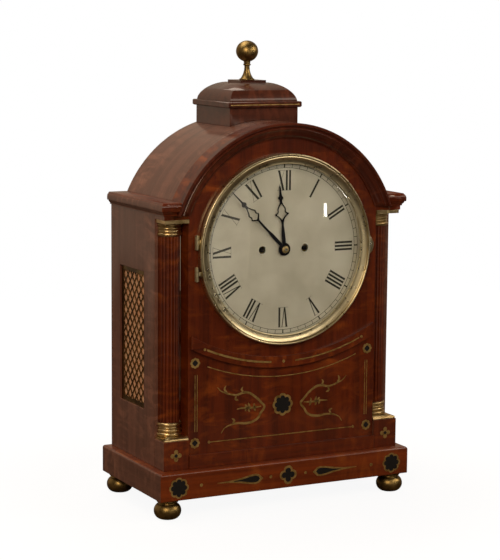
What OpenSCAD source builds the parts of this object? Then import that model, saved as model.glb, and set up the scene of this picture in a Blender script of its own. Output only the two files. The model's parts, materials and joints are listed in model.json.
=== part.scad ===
// Arch-topped bracket clock with a two-train fusee movement.
// Origin: middle of the footprint at the floor. +X right, +Y to the back, +Z up.

/* [Base and feet] */
// Width of the plinth, the widest part of the case
base_w = 327; // [310:1:400]
// Depth of the plinth from front to back
base_d = 167.5; // [160:0.5:220]
// Height of the plinth
base_h = 32.2; // [26:0.1:44]
// Radius of the plinth's top edge
base_round = 3; // [1:0.5:5]
// Largest diameter of a foot
foot_d = 31.5; // [24:0.5:38]
// Height of a foot
foot_h = 22.7; // [16:0.1:30]
// Distance from the plinth's edge to a foot's centre
foot_inset = 15.8; // [15.8:0.1:30]

/* [Case body] */
// How far the body stands back from the plinth's front
body_front_set = 12.3; // [8:0.1:20]
// How far the body stands back from the plinth's back
body_back_set = 5.6; // [5.5:0.1:12]
// How far the body stands in from each end of the plinth
body_side_set = 9.6; // [6:0.1:16]
// Height of the body from the plinth to the top of the shoulder
body_h = 305.6; // [295:0.1:340]
// Thickness of the side boards
side_t = 12; // [10:0.5:16]
// Thickness of the front board
front_t = 21; // [18:0.5:22]
// How far the front board stands behind the pedestals
front_set = 3.4; // [2:0.1:5]
// Thickness of the rear frame
rear_t = 12; // [9:0.5:14]
// Thickness of the roof shell
roof_t = 10; // [7:0.5:12]
// Height of the shoulder moulding
moulding_h = 14.5; // [12:0.5:18]
// How far the shoulder moulding projects
moulding_out = 5.2; // [3:0.1:7]

/* [Corner columns] */
// Width of a corner pedestal
pedestal_w = 31.4; // [29:0.1:34]
// Depth of a corner pedestal in front of the side board
pedestal_d = 25.4; // [22:0.1:30]
// Height of a corner pedestal
pedestal_h = 33.5; // [26:0.5:45]
// Radius of a column over its reeds
column_r = 13.2; // [12:0.1:13.5]
// Number of reeds around a column
reeds = 18; // [14:1:22]
// Height of the brass base on a column
column_base_h = 18.6; // [14:0.1:24]
// Height of the brass capital on a column
capital_h = 20; // [14:0.5:24]

/* [Dial and bezel] */
// Height of the dial's centre above the plinth
dial_up = 246.1; // [240:0.1:255]
// Outer radius of the bezel
bezel_r = 111; // [106:0.5:114]
// Radius of the glass
glass_r = 100.5; // [96:0.5:103]
// Radius of the dial plate
dial_r = 104; // [100:0.5:105]
// Thickness of the dial plate
dial_t = 2; // [1.5:0.1:3]
// Minutes past the hour that the hands show
minutes = 52.5; // [0:0.5:59.5]
// Hour that the hands show, before the minutes are added
hour = 11; // [0:1:11]
// Length of the minute hand
minute_len = 97; // [85:0.5:98]
// Length of the hour hand
hour_len = 74; // [60:0.5:78]

/* [Arch and cap] */
// Outer radius of the arch and the roof
arch_r = 146; // [143:0.5:148]
// Width of the moulding around the arch
arch_moulding_w = 17.5; // [12:0.5:20]
// How far the arch moulding stands out of the front board
arch_moulding_out = 9; // [5:0.5:10]
// Half the width of the square cap box
cap_half = 44.7; // [36:0.1:52]
// Distance from the body's back to the cap's centre
cap_from_back = 48.7; // [46:0.1:60]
// Height of the cap box above the roof's crown
cap_rise = 14.2; // [8:0.1:24]
// Height of the moulding around the cap
cap_moulding_h = 6.9; // [5:0.1:10]
// How far the moulding around the cap projects
cap_moulding_out = 3.4; // [2:0.1:6]
// Height of the domed cushion
cushion_h = 21.2; // [14:0.1:28]
// Half the width of the pad on top of the cushion
pad_half = 16.8; // [12:0.1:20]
// Thickness of the pad
pad_t = 2.6; // [1.5:0.1:4]
// Diameter of the finial's ball
ball_d = 26.4; // [20:0.1:32]
// Height of the finial's stem under the ball
stem_h = 21.6; // [14:0.1:30]

/* [Side frets] */
// Width of a side fret's opening, from front to back
fret_w = 68.4; // [50:0.1:76]
// Height of a side fret's opening
fret_h = 160.2; // [120:0.1:180]
// Height of the opening's foot above the plinth
fret_up = 61.9; // [50:0.1:75]
// Distance from the body's back to the opening
fret_from_back = 25.6; // [20:0.1:32]
// Depth of the fret behind the side's face
fret_in = 2.7; // [1.5:0.1:4]
// Thickness of the fret's brass
fret_t = 1.2; // [0.8:0.1:2]

/* [Back door] */
// Radius of the rear opening's arch, half its width
rear_r = 112; // [100:1:118]
// Height of the rear opening's sill above the plinth
rear_up = 26; // [20:1:40]
// Thickness of the back door
door_t = 8; // [6:0.5:10]
// Width of the back door's rails
door_rail = 20; // [14:1:26]

/* [Movement] */
// Half the width of the movement's plates
plate_half = 70; // [69:0.5:78]
// Thickness of the movement's plates
plate_t = 3.5; // [2.5:0.1:4]
// Clear distance between the two plates
plate_gap = 55; // [52:0.5:60]
// Distance of each winding arbor from the centre
wind_x = 27.8; // [27.6:0.1:28.4]
// Effective length of the pendulum
pendulum_len = 200; // [180:1:215]
// Running clearance of a pivot in its hole, on the radius
pivot_gap = 0.05; // [0.02:0.01:0.09]

/* [Hidden] */
$fn = 96;
eps = 0.01;
seat_gap = 0.3;        // clearance between pieces on different bodies
fit_gap = 0.1;         // clearance of a piece let into another

// Case levels and faces
base_top = foot_h + base_h;
body_x = base_w / 2 - body_side_set;
front_y = -base_d / 2 + body_front_set;
back_y = base_d / 2 - body_back_set;
board_y = front_y + front_set;
board_back = board_y + front_t;
rear_y = back_y - rear_t;
side_in = body_x - side_t;
shoulder_top = base_top + body_h;
shoulder_low = shoulder_top - moulding_h;
block_low = shoulder_low - 5;          // underside of the block over a column
recess_w = max(pedestal_w, 2 * column_r + 5);  // a column always has room in its corner
recess_x = body_x - recess_w;
side_front = front_y + pedestal_d;
pedestal_top = base_top + pedestal_h;
dial_z = base_top + dial_up;
roof_in = arch_r - roof_t;
bar_x = sqrt(pow(roof_in, 2) - pow(shoulder_top - dial_z, 2)) - 1;  // inner edge of a shoulder bar
column_x = recess_x + column_r + 0.2;
column_y = side_front + 2;
recess_back = column_y + column_r + 0.3;
roof_top = dial_z + arch_r;
cap_y = back_y - cap_from_back;
cap_top = roof_top + cap_rise;
cushion_low = cap_top + cap_moulding_h;
pad_low = cushion_low + cushion_h;
finial_low = pad_low + pad_t;
bezel_back = board_y - seat_gap;
bezel_front = bezel_back - 8.2;
dial_y = board_y + 2;                  // front face of the dial plate

// Movement planes, from the front to the back
plate_front = board_back + 2;
plate_in = plate_front + plate_t;
plate_rear_in = plate_in + plate_gap;
plate_rear = plate_rear_in + plate_t;
plate_low = dial_z - 92;
plate_high = dial_z + 84;
seat_t = 14;
crutch_y = plate_rear + 5;
cock_y = plate_rear + 8;                // front face of the back cock's plate
pendulum_y = plate_rear + 16;

// Wheel counts and tooth modules
great_n = 96;
pinion_n = 8;
great_m = 2 * wind_x / (great_n + pinion_n);
centre_n = 84;
leaf_n = 7;
centre_m = 0.5;
third_n = 78;
third_m = 0.45;
strike_n = 84;
strike_m = 0.5524;
cannon_n = 24;
motion_n = 36;
motion_leaf = 8;
hour_n = 64;
motion_gap = 20;
stud_r = 1;
motion_m = 2 * motion_gap / (cannon_n + motion_n);
hour_m = 2 * motion_gap / (hour_n + motion_leaf);
pin_n = 64;
pin_m = 0.53;
lift_pin_r = 15.7;                     // circle of the lifting pins
tail_r = lift_pin_r + 1.5;             // where the hammer's tail waits
escape_n = 30;
escape_r = 16;

// Arbor places, [x, z]
centre_p = [0, dial_z];
going_p = [wind_x, dial_z];
strike_p = [-wind_x, dial_z];
third_p = centre_p + [0, centre_m * (centre_n + leaf_n) / 2];
escape_p = third_p + [0, third_m * (third_n + leaf_n) / 2];
pallet_p = escape_p + [0, 22.6];
pin_dir = 110;
pin_p = strike_p + strike_m * (strike_n + pinion_n) / 2 * [cos(pin_dir), sin(pin_dir)];
barrel_drop = 58;
barrel_out = 12.2;
barrel_r = 27;
going_barrel_p = going_p + [barrel_out, -barrel_drop];
strike_barrel_p = strike_p + [-barrel_out, -barrel_drop];
motion_dir = -60;
motion_p = centre_p + motion_gap * [cos(motion_dir), sin(motion_dir)];
hammer_p = [-50, dial_z + 44];
minute_turn = -minutes * 6;            // angles are anticlockwise as seen from the front
hour_turn = -(hour + minutes / 60) * 30;

// Colours
wood = [0.45, 0.17, 0.07];
side_wood = [0.38, 0.22, 0.16];
brass = [0.72, 0.58, 0.25];
bright = [0.85, 0.72, 0.38];
steel = [0.55, 0.56, 0.58];
blued = [0.06, 0.06, 0.09];
silver = [0.78, 0.77, 0.72];

// ---------- shared shapes ----------

// Lays a flat shape in the X-Z plane with its back at y; it grows towards the front by t.
module stand(y, t, p = [0, 0], turn = 0) {
    translate([p[0], y, p[1]]) rotate([90, 0, 0]) rotate([0, 0, turn]) linear_extrude(t) children();
}

// A round rod along Y from y0 to y1.
module rod(p, r, y0, y1) {
    translate([p[0], y1, p[1]]) rotate([90, 0, 0]) cylinder(h = y1 - y0, r = r);
}

// Mirrors a piece to the side named: -1 is left and 1 is right.
module on_side(side) {
    mirror([side < 0 ? 1 : 0, 0, 0]) children();
}

// Points of a straight-flanked tooth ring; add and ded are in modules, wide is the share of the pitch.
function ring_points(n, m, add, ded, tip_w, root_w) =
    let (r = n * m / 2, pitch = 360 / n)
    [for (i = [0 : n - 1], k = [0 : 3])
        let (rad = (k == 0 || k == 3) ? r - ded * m : r + add * m,
             w = ((k == 0 || k == 3) ? root_w : tip_w) * pitch / 2,
             a = i * pitch + (k < 2 ? -w : w))
        rad * [cos(a), sin(a)]];

module wheel_ring(n, m) polygon(ring_points(n, m, 0.7, 1.1, 0.2, 0.42));

module leaf_ring(n, m) polygon(ring_points(n, m, 0.55, 1.1, 0.16, 0.3));

// A crossed-out wheel: rim, four arms and a hub.
module crossed_wheel(n, m, hub) {
    r = n * m / 2;
    rim = r - 3.6 * m;
    difference() {
        wheel_ring(n, m);
        circle(r = rim);
    }
    for (a = [0, 90]) rotate(a) square([2 * rim + 0.2, 1.8], center = true);
    circle(r = hub);
}

// The round plan of the front arch above the shoulder.
module arch_disc(r) translate([0, dial_z]) circle(r = r, $fn = 180);

// ---------- base and feet ----------

module base_plinth() {
    hollow = 16;
    floor_t = 11;
    color(wood) difference() {
        union() {
            translate([-base_w / 2, -base_d / 2, foot_h]) cube([base_w, base_d, base_h - base_round]);
            for (a = [0, 1]) intersection() {
                translate([-base_w / 2, 0, 0]) rotate([90, 0, 90]) linear_extrude(base_w)
                    plinth_edge(base_d / 2);
                translate([0, base_d / 2, 0]) rotate([90, 0, 0]) linear_extrude(base_d)
                    plinth_edge(base_w / 2);
            }
        }
        translate([-side_in + hollow, board_back + 4, foot_h + floor_t])
            cube([2 * (side_in - hollow), rear_y - board_back - 8, base_h]);
    }
}

// Cross-section of the plinth's rounded top, half its width being half.
module plinth_edge(half) {
    polygon(concat(
        [[-half, base_top - base_round - 1], [half, base_top - base_round - 1]],
        [for (a = [0 : 15 : 90]) [half - base_round + base_round * cos(a),
                                  base_top - base_round + base_round * sin(a)]],
        [for (a = [90 : 15 : 180]) [-half + base_round + base_round * cos(a),
                                    base_top - base_round + base_round * sin(a)]]));
}

module foot(sx, sy) {
    r = foot_d / 2;
    waist = foot_h * 0.8;
    color(brass) translate([sx * (base_w / 2 - foot_inset), sy * (base_d / 2 - foot_inset), 0])
        rotate_extrude() polygon(concat(
            [[0, 0]],
            [for (a = [-70 : 10 : 58]) [r - 9 + 9 * cos(a), 9 + 9 * sin(a) / sin(70)]],
            [[r * 0.66, waist], [r * 0.66, waist + 1], [r * 0.76, waist + 1.8], [r * 0.76, foot_h], [0, foot_h]]));
}

module foot_front_left() foot(-1, -1);

module foot_front_right() foot(1, -1);

module foot_rear_left() foot(-1, 1);

module foot_rear_right() foot(1, 1);

// ---------- case boards ----------

// The recess in a front corner, from z0 to z1, taken in by gap on every wall.
module recess(z0, z1, gap = 0, front = 0) {
    translate([recess_x + gap, front_y + front, z0])
        cube([recess_w - gap - front, pedestal_d - gap - front, z1 - z0]);
    translate([recess_x + gap, side_front - gap - 1, z0])
        cube([body_x - 4.3 - recess_x - 2 * gap, recess_back - side_front + 1, z1 - z0]);
}

module pedestal(side) color(wood) on_side(side) recess(base_top, pedestal_top);

module pedestal_left() pedestal(-1);

module pedestal_right() pedestal(1);

module front_board() {
    color(wood) difference() {
        stand(board_back, front_t) difference() {
            union() {
                translate([-recess_x, base_top]) square([2 * recess_x, shoulder_top - base_top]);
                intersection() {
                    arch_disc(arch_r);
                    translate([-arch_r, shoulder_top]) square([2 * arch_r, arch_r]);
                }
            }
            translate([0, dial_z]) circle(r = dial_r + 1.5, $fn = 180);
        }
        // room for the corners of the movement's front plate
        translate([-plate_half - 3, board_back - 2, plate_low - 3])
            cube([2 * plate_half + 6, 3, plate_high - plate_low + 6]);
    }
}

// Raised curved band under the dial.
swag_r = 244;
swag_w = 13.2;
swag_z = base_top + 365.7;
swag_x = recess_x - 2.7;
module swag_band() {
    color(wood) stand(board_y, 4) intersection() {
        translate([0, swag_z]) difference() {
            circle(r = swag_r + swag_w, $fn = 180);
            circle(r = swag_r, $fn = 180);
        }
        translate([-swag_x, base_top]) square([2 * swag_x, swag_z - base_top - swag_r / 2]);
    }
}

module bottom_rail() {
    rail_h = 15.7;
    color(wood) translate([-recess_x, front_y - 1.6, base_top])
        cube([2 * recess_x, board_y - front_y + 1.6, rail_h]);
}

// The opening of a side fret, grown by g.
module fret_window(g) {
    translate([back_y - fret_from_back - fret_w - g, base_top + fret_up - g])
        square([fret_w + 2 * g, fret_h + 2 * g]);
}

// Lays a flat shape in the Y-Z plane with its inner face at x; it grows outwards by t.
module stand_x(x, t) translate([x, 0, 0]) rotate([90, 0, 90]) linear_extrude(t) children();

fret_lap = 3.5;

module side_board(side) {
    color(side_wood) on_side(side) difference() {
        translate([side_in, side_front, base_top])
            cube([side_t, back_y - side_front, shoulder_low - base_top]);
        translate([side_in - 1, side_front - 1, base_top - 1])
            cube([side_t + 1 - 4.3, recess_back - side_front + 1, shoulder_top]);
        stand_x(side_in - 1, side_t + 2) fret_window(0);
        stand_x(side_in - 1, side_t + 1 - fret_in) fret_window(fret_lap);
    }
}

module side_board_left() side_board(-1);

module side_board_right() side_board(1);

// A brass fret: a plain border around a lattice of diamonds.
module side_fret(side) {
    border = 5;
    across = 12.3;
    up = 14.2;
    bar = 2.1;
    cols = ceil(fret_w / across / 2) + 1;
    rows = ceil(fret_h / up / 2) + 1;
    mid = [back_y - fret_from_back - fret_w / 2, base_top + fret_up + fret_h / 2];
    color(brass) on_side(side) stand_x(body_x - fret_in - fret_t, fret_t) difference() {
        fret_window(fret_lap - fit_gap);
        intersection() {
            fret_window(-border);
            translate(mid) for (i = [-cols : cols], j = [-rows : rows], k = [0, 0.5])
                translate([(i + k) * across, (j + k) * up])
                    polygon([[-(across - bar) / 2, 0], [0, -(up - bar) / 2], [(across - bar) / 2, 0], [0, (up - bar) / 2]]);
        }
    }
}

module side_fret_left() side_fret(-1);

module side_fret_right() side_fret(1);

module fret_silks() {
    silk_t = 0.6;
    color([0.85, 0.5, 0.25]) for (side = [-1, 1]) on_side(side)
        stand_x(body_x - fret_in - fret_t - silk_t, silk_t) fret_window(fret_lap - fit_gap);
}

// ---------- columns ----------

// Reeded shaft: its outline runs round each reed in turn.
module column(side) {
    reed_r = column_r * sin(180 / reeds) * 0.8;
    outline = [for (i = [0 : reeds - 1], b = [-80 : 20 : 80])
        let (a = i * 360 / reeds)
        (column_r - reed_r) * [cos(a), sin(a)] + reed_r * [cos(a + b), sin(a + b)]];
    color(wood) on_side(side) translate([column_x, column_y, pedestal_top])
        linear_extrude(block_low - pedestal_top) polygon(outline);
}

module column_left() column(-1);

module column_right() column(1);

// A turned brass collar made of rounded rings, each [z, half height, projection], over a square plate.
module collar(z0, height, plate_z, plate_h, rings) {
    intersection() {
        difference() {
            union() {
                translate([column_x, column_y, z0]) cylinder(h = height, r = column_r + 0.7);
                for (g = rings) translate([column_x, column_y, z0 + g[0]]) rotate_extrude()
                    polygon(concat([[1, -g[1]]],
                        [for (a = [-90 : 15 : 90]) [column_r + 0.7 + (g[2] - 0.7) * cos(a), g[1] * sin(a)]],
                        [[1, g[1]]]));
                recess(plate_z, plate_z + plate_h, fit_gap, 1.2);
            }
            translate([column_x, column_y, z0 - 1]) cylinder(h = height + 2, r = column_r + 0.05);
        }
        recess(z0, z0 + height, fit_gap, 0);
    }
}

module column_bases() {
    color(bright) for (side = [-1, 1]) on_side(side)
        collar(pedestal_top, column_base_h, pedestal_top, 2.6,
               [[5, 2.4, 2.8], [9.6, 1.6, 1.9], [12.6, 1, 1.1], [16.6, 1.9, 2.2]]);
}

module column_capitals() {
    color(bright) for (side = [-1, 1]) on_side(side)
        collar(block_low - capital_h, capital_h, block_low - 4.2, 4.2,
               [[2.2, 1.8, 2.2], [5.8, 1.3, 1.3], [9, 1.5, 1.6], [13, 1.6, 2.2]]);
}

// ---------- mouldings and roof ----------

// Shoulder profile from its foot to its top: [height share, projection share].
shoulder_profile = [[0, 0], [0, 0.28], [0.12, 0.28], [0.16, 0.42], [0.26, 0.62], [0.36, 0.7], [0.36, 0.94],
    [0.46, 1], [0.66, 1], [0.78, 0.93], [0.88, 0.76], [0.94, 0.6], [1, 0.5]];

function shoulder_edge(edge) = [for (p = shoulder_profile)
    [edge + moulding_out * p[1], shoulder_low + moulding_h * p[0]]];

module shoulder_moulding(side) {
    block = 30;
    color(wood) on_side(side) difference() {
        union() {
            intersection() {
                translate([0, back_y, 0]) rotate([90, 0, 0]) linear_extrude(base_d)
                    polygon(concat([[bar_x, shoulder_low]], shoulder_edge(body_x), [[bar_x, shoulder_top]]));
                rotate([90, 0, 90]) linear_extrude(base_w)
                    polygon(concat([[back_y, shoulder_low]],
                        [for (p = shoulder_edge(-front_y)) [-p[0], p[1]]], [[back_y, shoulder_top]]));
            }
            recess(block_low, shoulder_low + eps);
        }
        // seats of the front board, the rear frame and the arch moulding
        translate([0, board_y, shoulder_low - block]) cube([recess_x, front_t, 2 * block]);
        translate([0, -base_d, shoulder_low - block])
            cube([recess_x, base_d + board_y + eps, 2 * block]);
        rod([0, dial_z], arch_r + fit_gap / 2, -base_d, board_y);
    }
}

module shoulder_moulding_left() shoulder_moulding(-1);

module shoulder_moulding_right() shoulder_moulding(1);

// Arch moulding profile from its outer edge inwards: [width share, projection share].
arch_profile = [[0, 0], [0, 0.93], [0.03, 1], [0.16, 1], [0.19, 0.93], [0.2, 0.8], [0.24, 0.68], [0.3, 0.62],
    [0.34, 0.62], [0.36, 0.74], [0.4, 0.78], [0.44, 0.74], [0.5, 0.62], [0.58, 0.5], [0.68, 0.42], [0.78, 0.38],
    [0.86, 0.38], [0.86, 0.24], [1, 0.2], [1, 0]];

module arch_moulding() {
    color(wood) intersection() {
        translate([0, board_y, dial_z]) rotate([90, 0, 0]) rotate_extrude($fn = 180)
            polygon([for (p = arch_profile)
                [arch_r - arch_moulding_w * p[0], arch_moulding_out * p[1]]]);
        translate([-arch_r - 1, -base_d, shoulder_low]) cube([2 * arch_r + 2, 2 * base_d, 2 * arch_r]);
    }
}

module roof_shell() {
    color(side_wood) stand(back_y, back_y - board_back) intersection() {
        difference() {
            arch_disc(arch_r);
            arch_disc(roof_in);
        }
        translate([-arch_r - 1, shoulder_top]) square([2 * arch_r + 2, arch_r]);
    }
}

// Rear frame: fills the back inside the sides and the roof, with the door's opening. Its crown is a
// separate piece, let in between two glue joints.
module rear_frame() {
    joint_turn = 44;
    color(side_wood) difference() {
        stand(back_y, rear_t) difference() {
            union() {
                translate([-side_in, base_top]) square([2 * side_in, shoulder_low - base_top]);
                translate([-bar_x, base_top]) square([2 * bar_x, shoulder_top - base_top]);
                intersection() {
                    arch_disc(roof_in - fit_gap);
                    union() {
                        translate([-bar_x, shoulder_top - 1]) square([2 * bar_x, 2]);
                        translate([-arch_r, shoulder_top + 0.5]) square([2 * arch_r, arch_r]);
                    }
                }
            }
            rear_arch(rear_r, base_top + rear_up);
        }
        for (a = [joint_turn, 180 - joint_turn]) translate([0, rear_y - 1, dial_z]) rotate([0, -a, 0])
            translate([rear_r - 4, 0, -fit_gap / 2]) cube([roof_in - rear_r + 8, rear_t + 2, fit_gap]);
        // let in the two fixed hinge leaves, and room for their knuckles
        for (z = hinge_levels) {
            translate([door_axis[0], back_y - leaf_t, z]) cube([leaf_out, leaf_t + eps, leaf_h]);
            translate([door_axis[0], door_axis[1], z - 2])
                cylinder(h = leaf_h + 4, r = door_hinge_r + 0.4);
        }
    }
}

// Arched outline with its sill at z0.
module rear_arch(r, z0) {
    translate([0, dial_z]) circle(r = r, $fn = 180);
    translate([-r, z0]) square([2 * r, dial_z - z0]);
}

// ---------- cap and finial ----------

module cap_box() {
    color(side_wood) difference() {
        translate([-cap_half, cap_y - cap_half, roof_top - 12])
            cube([2 * cap_half, 2 * cap_half, cap_rise + 12]);
        rod([0, dial_z], arch_r + fit_gap / 2, -base_d, base_d);
    }
}

// A square-plan solid whose section in both directions is the shape given.
module square_plan(half) {
    translate([0, cap_y, 0]) intersection() {
        translate([0, half, 0]) rotate([90, 0, 0]) linear_extrude(2 * half) children();
        translate([-half, 0, 0]) rotate([90, 0, 90]) linear_extrude(2 * half) children();
    }
}

module cap_moulding() {
    half = cap_half + cap_moulding_out;
    lip = 1.2;
    color(wood) square_plan(half) polygon([[-half + lip, cap_top], [half - lip, cap_top],
        [half, cap_top + lip], [half, cushion_low - lip], [half - lip / 2, cushion_low - lip / 4],
        [half - lip, cushion_low], [-half + lip, cushion_low], [-half + lip / 2, cushion_low - lip / 4],
        [-half, cushion_low - lip], [-half, cap_top + lip]]);
}

module cap_cushion() {
    foot_half = cap_half - 0.6;
    fullness = 1.72;
    steps = 20;
    function out(t) = pad_half + 1 + (foot_half - pad_half - 1) * pow(1 - pow(t, fullness), 1 / fullness);
    right_side = [for (i = [0 : steps]) let (t = sin(i * 90 / steps)) [out(t), cushion_low + cushion_h * t]];
    left_side = [for (i = [steps : -1 : 0]) [-right_side[i][0], right_side[i][1]]];
    color(side_wood) {
        square_plan(foot_half) polygon(concat(right_side, left_side));
        translate([-pad_half, cap_y - pad_half, pad_low]) cube([2 * pad_half, 2 * pad_half, pad_t]);
    }
}

module finial() {
    r = ball_d / 2;
    ball_z = stem_h + r * 0.92;
    color(brass) translate([0, cap_y, finial_low]) rotate_extrude() polygon(concat(
        [[0, 0], [r * 0.66, 0], [r * 0.68, 0.9], [r * 0.62, 1.6]],
        [for (t = [0 : 0.1 : 1]) [r * (0.24 + 0.32 * pow(1 - t, 2.2)), 2.2 + (stem_h - 7) * t]],
        [[r * 0.26, stem_h - 4], [r * 0.33, stem_h - 3.2], [r * 0.33, stem_h - 2.2], [r * 0.28, stem_h - 1.6]],
        [for (a = [-68 : 8 : 90]) [max(r * cos(a), 0), ball_z + r * (a < 0 ? 1.02 : 0.95) * sin(a)]]));
}

// ---------- bezel and back door ----------

hinge_r = 2.6;
pin_r = 1.2;
knuckle_h = 5;
bezel_axis = [-bezel_r - hinge_r, bezel_back - 3.4];
bezel_hinge_z = [dial_z + 13.6, dial_z - 22.6];
door_axis = [rear_r - 0.5, back_y + 1.4];
door_hinge_r = 2.2;
door_gap = 1;
door_low = base_top + rear_up + door_gap;
hinge_levels = [base_top + 60, dial_z - 20];
leaf_h = 24;
leaf_t = 1.6;
leaf_out = 11;

// One eye of a hinge, bored for its pin.
module eye(axis, r, z, h) {
    translate([axis[0], axis[1], z]) difference() {
        cylinder(h = h, r = r);
        translate([0, 0, -1]) cylinder(h = h + 2, r = pin_r + pivot_gap);
    }
}

// Depths in the bezel, forward from its back face.
glass_seat = 2.3;
glass_edge_t = 1.5;

module bezel() {
    d = bezel_back - bezel_front;
    lip = glass_seat + glass_edge_t;
    tab_r = 14;
    color(bright) difference() {
        union() {
            // ring section: flat back, bead at the rim and a bright slope down to the glass
            translate([0, bezel_back, dial_z]) rotate([90, 0, 0]) rotate_extrude($fn = 180)
                polygon(concat(
                    [[glass_r - 1.4, 0], [bezel_r - 0.8, 0], [bezel_r, 0.8], [bezel_r, d * 0.66]],
                    [for (a = [0 : 15 : 180]) [bezel_r - 1.5 + 1.5 * cos(a), d * 0.7 + d * 0.3 * sin(a)]],
                    [[bezel_r - 3.3, d * 0.84], [glass_r - 1.4, lip + 0.6]]));
            // lift tab on the right
            intersection() {
                stand(bezel_back - 1.5, 2.6, [bezel_r - 7.5, dial_z]) circle(r = tab_r);
                translate([bezel_r - 2, -base_d, dial_z - tab_r]) cube([40, 2 * base_d, 2 * tab_r]);
            }
            // arms of the two hinge eyes
            for (z = bezel_hinge_z) translate([bezel_axis[0], bezel_axis[1] - 1.2, z - knuckle_h / 2])
                cube([hinge_r + 1.5 + (bezel_r - sqrt(pow(bezel_r, 2) - pow(z - dial_z, 2))), 2.4, knuckle_h]);
            for (z = bezel_hinge_z) translate([bezel_axis[0], bezel_axis[1], z - knuckle_h / 2])
                cylinder(h = knuckle_h, r = hinge_r);
        }
        for (z = bezel_hinge_z) translate([bezel_axis[0], bezel_axis[1], z - knuckle_h])
            cylinder(h = 2 * knuckle_h, r = pin_r + pivot_gap);
        // seat of the glass, open to the back
        translate([0, bezel_back + 1, dial_z]) rotate([90, 0, 0])
            cylinder(h = 1 + lip, r = glass_r + fit_gap);
    }
}

// Convex glass held against the bezel's lip from behind.
module bezel_glass() {
    rise = 8.6;
    t = glass_edge_t;
    flat = 2.2;
    curve = (pow(glass_r - flat, 2) + pow(rise, 2)) / (2 * rise);
    swing = asin((glass_r - flat) / curve);
    color([0.8, 0.9, 0.9, 0.3]) translate([0, bezel_back - glass_seat, dial_z]) rotate([90, 0, 0])
        rotate_extrude($fn = 180) polygon(concat(
            [[glass_r, 0], [glass_r, t]],
            [for (i = [10 : -1 : 0]) let (a = swing * i / 10)
                [curve * sin(a), t + curve * (cos(a) - cos(swing))]],
            [for (i = [0 : 10]) let (a = swing * i / 10)
                [curve * sin(a), curve * (cos(a) - cos(swing))]]));
}

// Fixed halves of the bezel's two hinges, with their pins.
module bezel_hinges() {
    color(bright) for (z = bezel_hinge_z) {
        for (s = [-1, 1]) {
            low = s < 0 ? z - knuckle_h * 1.5 - seat_gap : z + knuckle_h * 0.5 + seat_gap;
            eye(bezel_axis, hinge_r, low, knuckle_h);
            difference() {
                translate([bezel_axis[0] - 1.2, bezel_axis[1], low]) cube([2.4, board_y - bezel_axis[1], knuckle_h]);
                translate([bezel_axis[0], bezel_axis[1], low - 1]) cylinder(h = knuckle_h + 2, r = hinge_r - 0.4);
            }
        }
        translate([bezel_axis[0], bezel_axis[1], z - knuckle_h * 1.5 - 1]) cylinder(h = 3 * knuckle_h + 2, r = pin_r);
    }
}

// Fixed leaves of the back door's hinges, each with two knuckles and the pin.
module back_door_hinges() {
    third = leaf_h / 3;
    color(brass) for (z = hinge_levels) {
        difference() {
            translate([door_axis[0] + 0.6, back_y - leaf_t, z]) cube([leaf_out - 0.7, leaf_t, leaf_h]);
            translate([door_axis[0], back_y - 3, z + third - seat_gap])
                cube([door_hinge_r + 0.7, 6, third + 2 * seat_gap]);
            translate([door_axis[0], door_axis[1], z - 1]) cylinder(h = leaf_h + 2, r = door_hinge_r - 0.3);
        }
        for (k = [0, 2]) eye(door_axis, door_hinge_r, z + k * third, third);
        translate([door_axis[0], door_axis[1], z - 1]) cylinder(h = leaf_h + 2, r = pin_r);
    }
}

module back_door() {
    r = rear_r - door_gap;
    third = leaf_h / 3;
    color(side_wood) difference() {
        stand(back_y - 0.4, door_t) difference() {
            rear_arch(r, door_low);
            rear_arch(r - door_rail, door_low + door_rail);
        }
        // rebate of the glass, from the inside
        stand(back_y - 3.4, door_t) rear_arch(r - door_rail + 4, door_low + door_rail - 4);
        for (z = hinge_levels) translate([door_axis[0], door_axis[1], z - 2])
            cylinder(h = leaf_h + 4, r = door_hinge_r + 0.5);
    }
    // moving leaves of the hinges, screwed to the door's edge
    color(brass) for (z = hinge_levels) difference() {
        union() {
            translate([door_axis[0], door_axis[1], z + third + seat_gap])
                cylinder(h = third - 2 * seat_gap, r = door_hinge_r);
            translate([door_axis[0] - 12, back_y - 0.4, z + third + seat_gap])
                cube([12, 1.4, third - 2 * seat_gap]);
        }
        translate([door_axis[0], door_axis[1], z]) cylinder(h = leaf_h, r = pin_r + pivot_gap);
    }
    // pull knob
    color(brass) translate([-r + door_rail / 2, back_y - 0.4, dial_z - 40]) rotate([-90, 0, 0])
        cylinder(h = 5, r1 = 2.4, r2 = 3.4);
}

module back_door_glass() {
    r = rear_r - door_gap - door_rail + 4 - fit_gap;
    color([0.8, 0.9, 0.9, 0.3]) stand(back_y - 3.4, 2) rear_arch(r, door_low + door_rail - 4 + fit_gap);
}

// ---------- dial and hands ----------

foot_places = [[-52, 64], [52, 64], [-52, -64], [52, -64]];

module dial_plate() {
    color(silver) difference() {
        union() {
            stand(dial_y + dial_t, dial_t, centre_p) circle(r = dial_r, $fn = 180);
            for (p = foot_places) rod(centre_p + p, 2.4, dial_y + dial_t - eps, plate_front);
            for (p = [going_p, strike_p]) rod(p, 6.2, dial_y - 0.5, dial_y + dial_t);
        }
        rod(centre_p, 4.6, dial_y - 2, dial_y + dial_t + 1);
        for (p = [going_p, strike_p]) rod(p, 4.5, dial_y - 2, dial_y + dial_t + 1);
    }
}

// A tapering bar from the centre outwards along +Y of the flat shape.
module blade(y0, w0, y1, w1) polygon([[-w0 / 2, y0], [w0 / 2, y0], [w1 / 2, y1], [-w1 / 2, y1]]);

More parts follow.
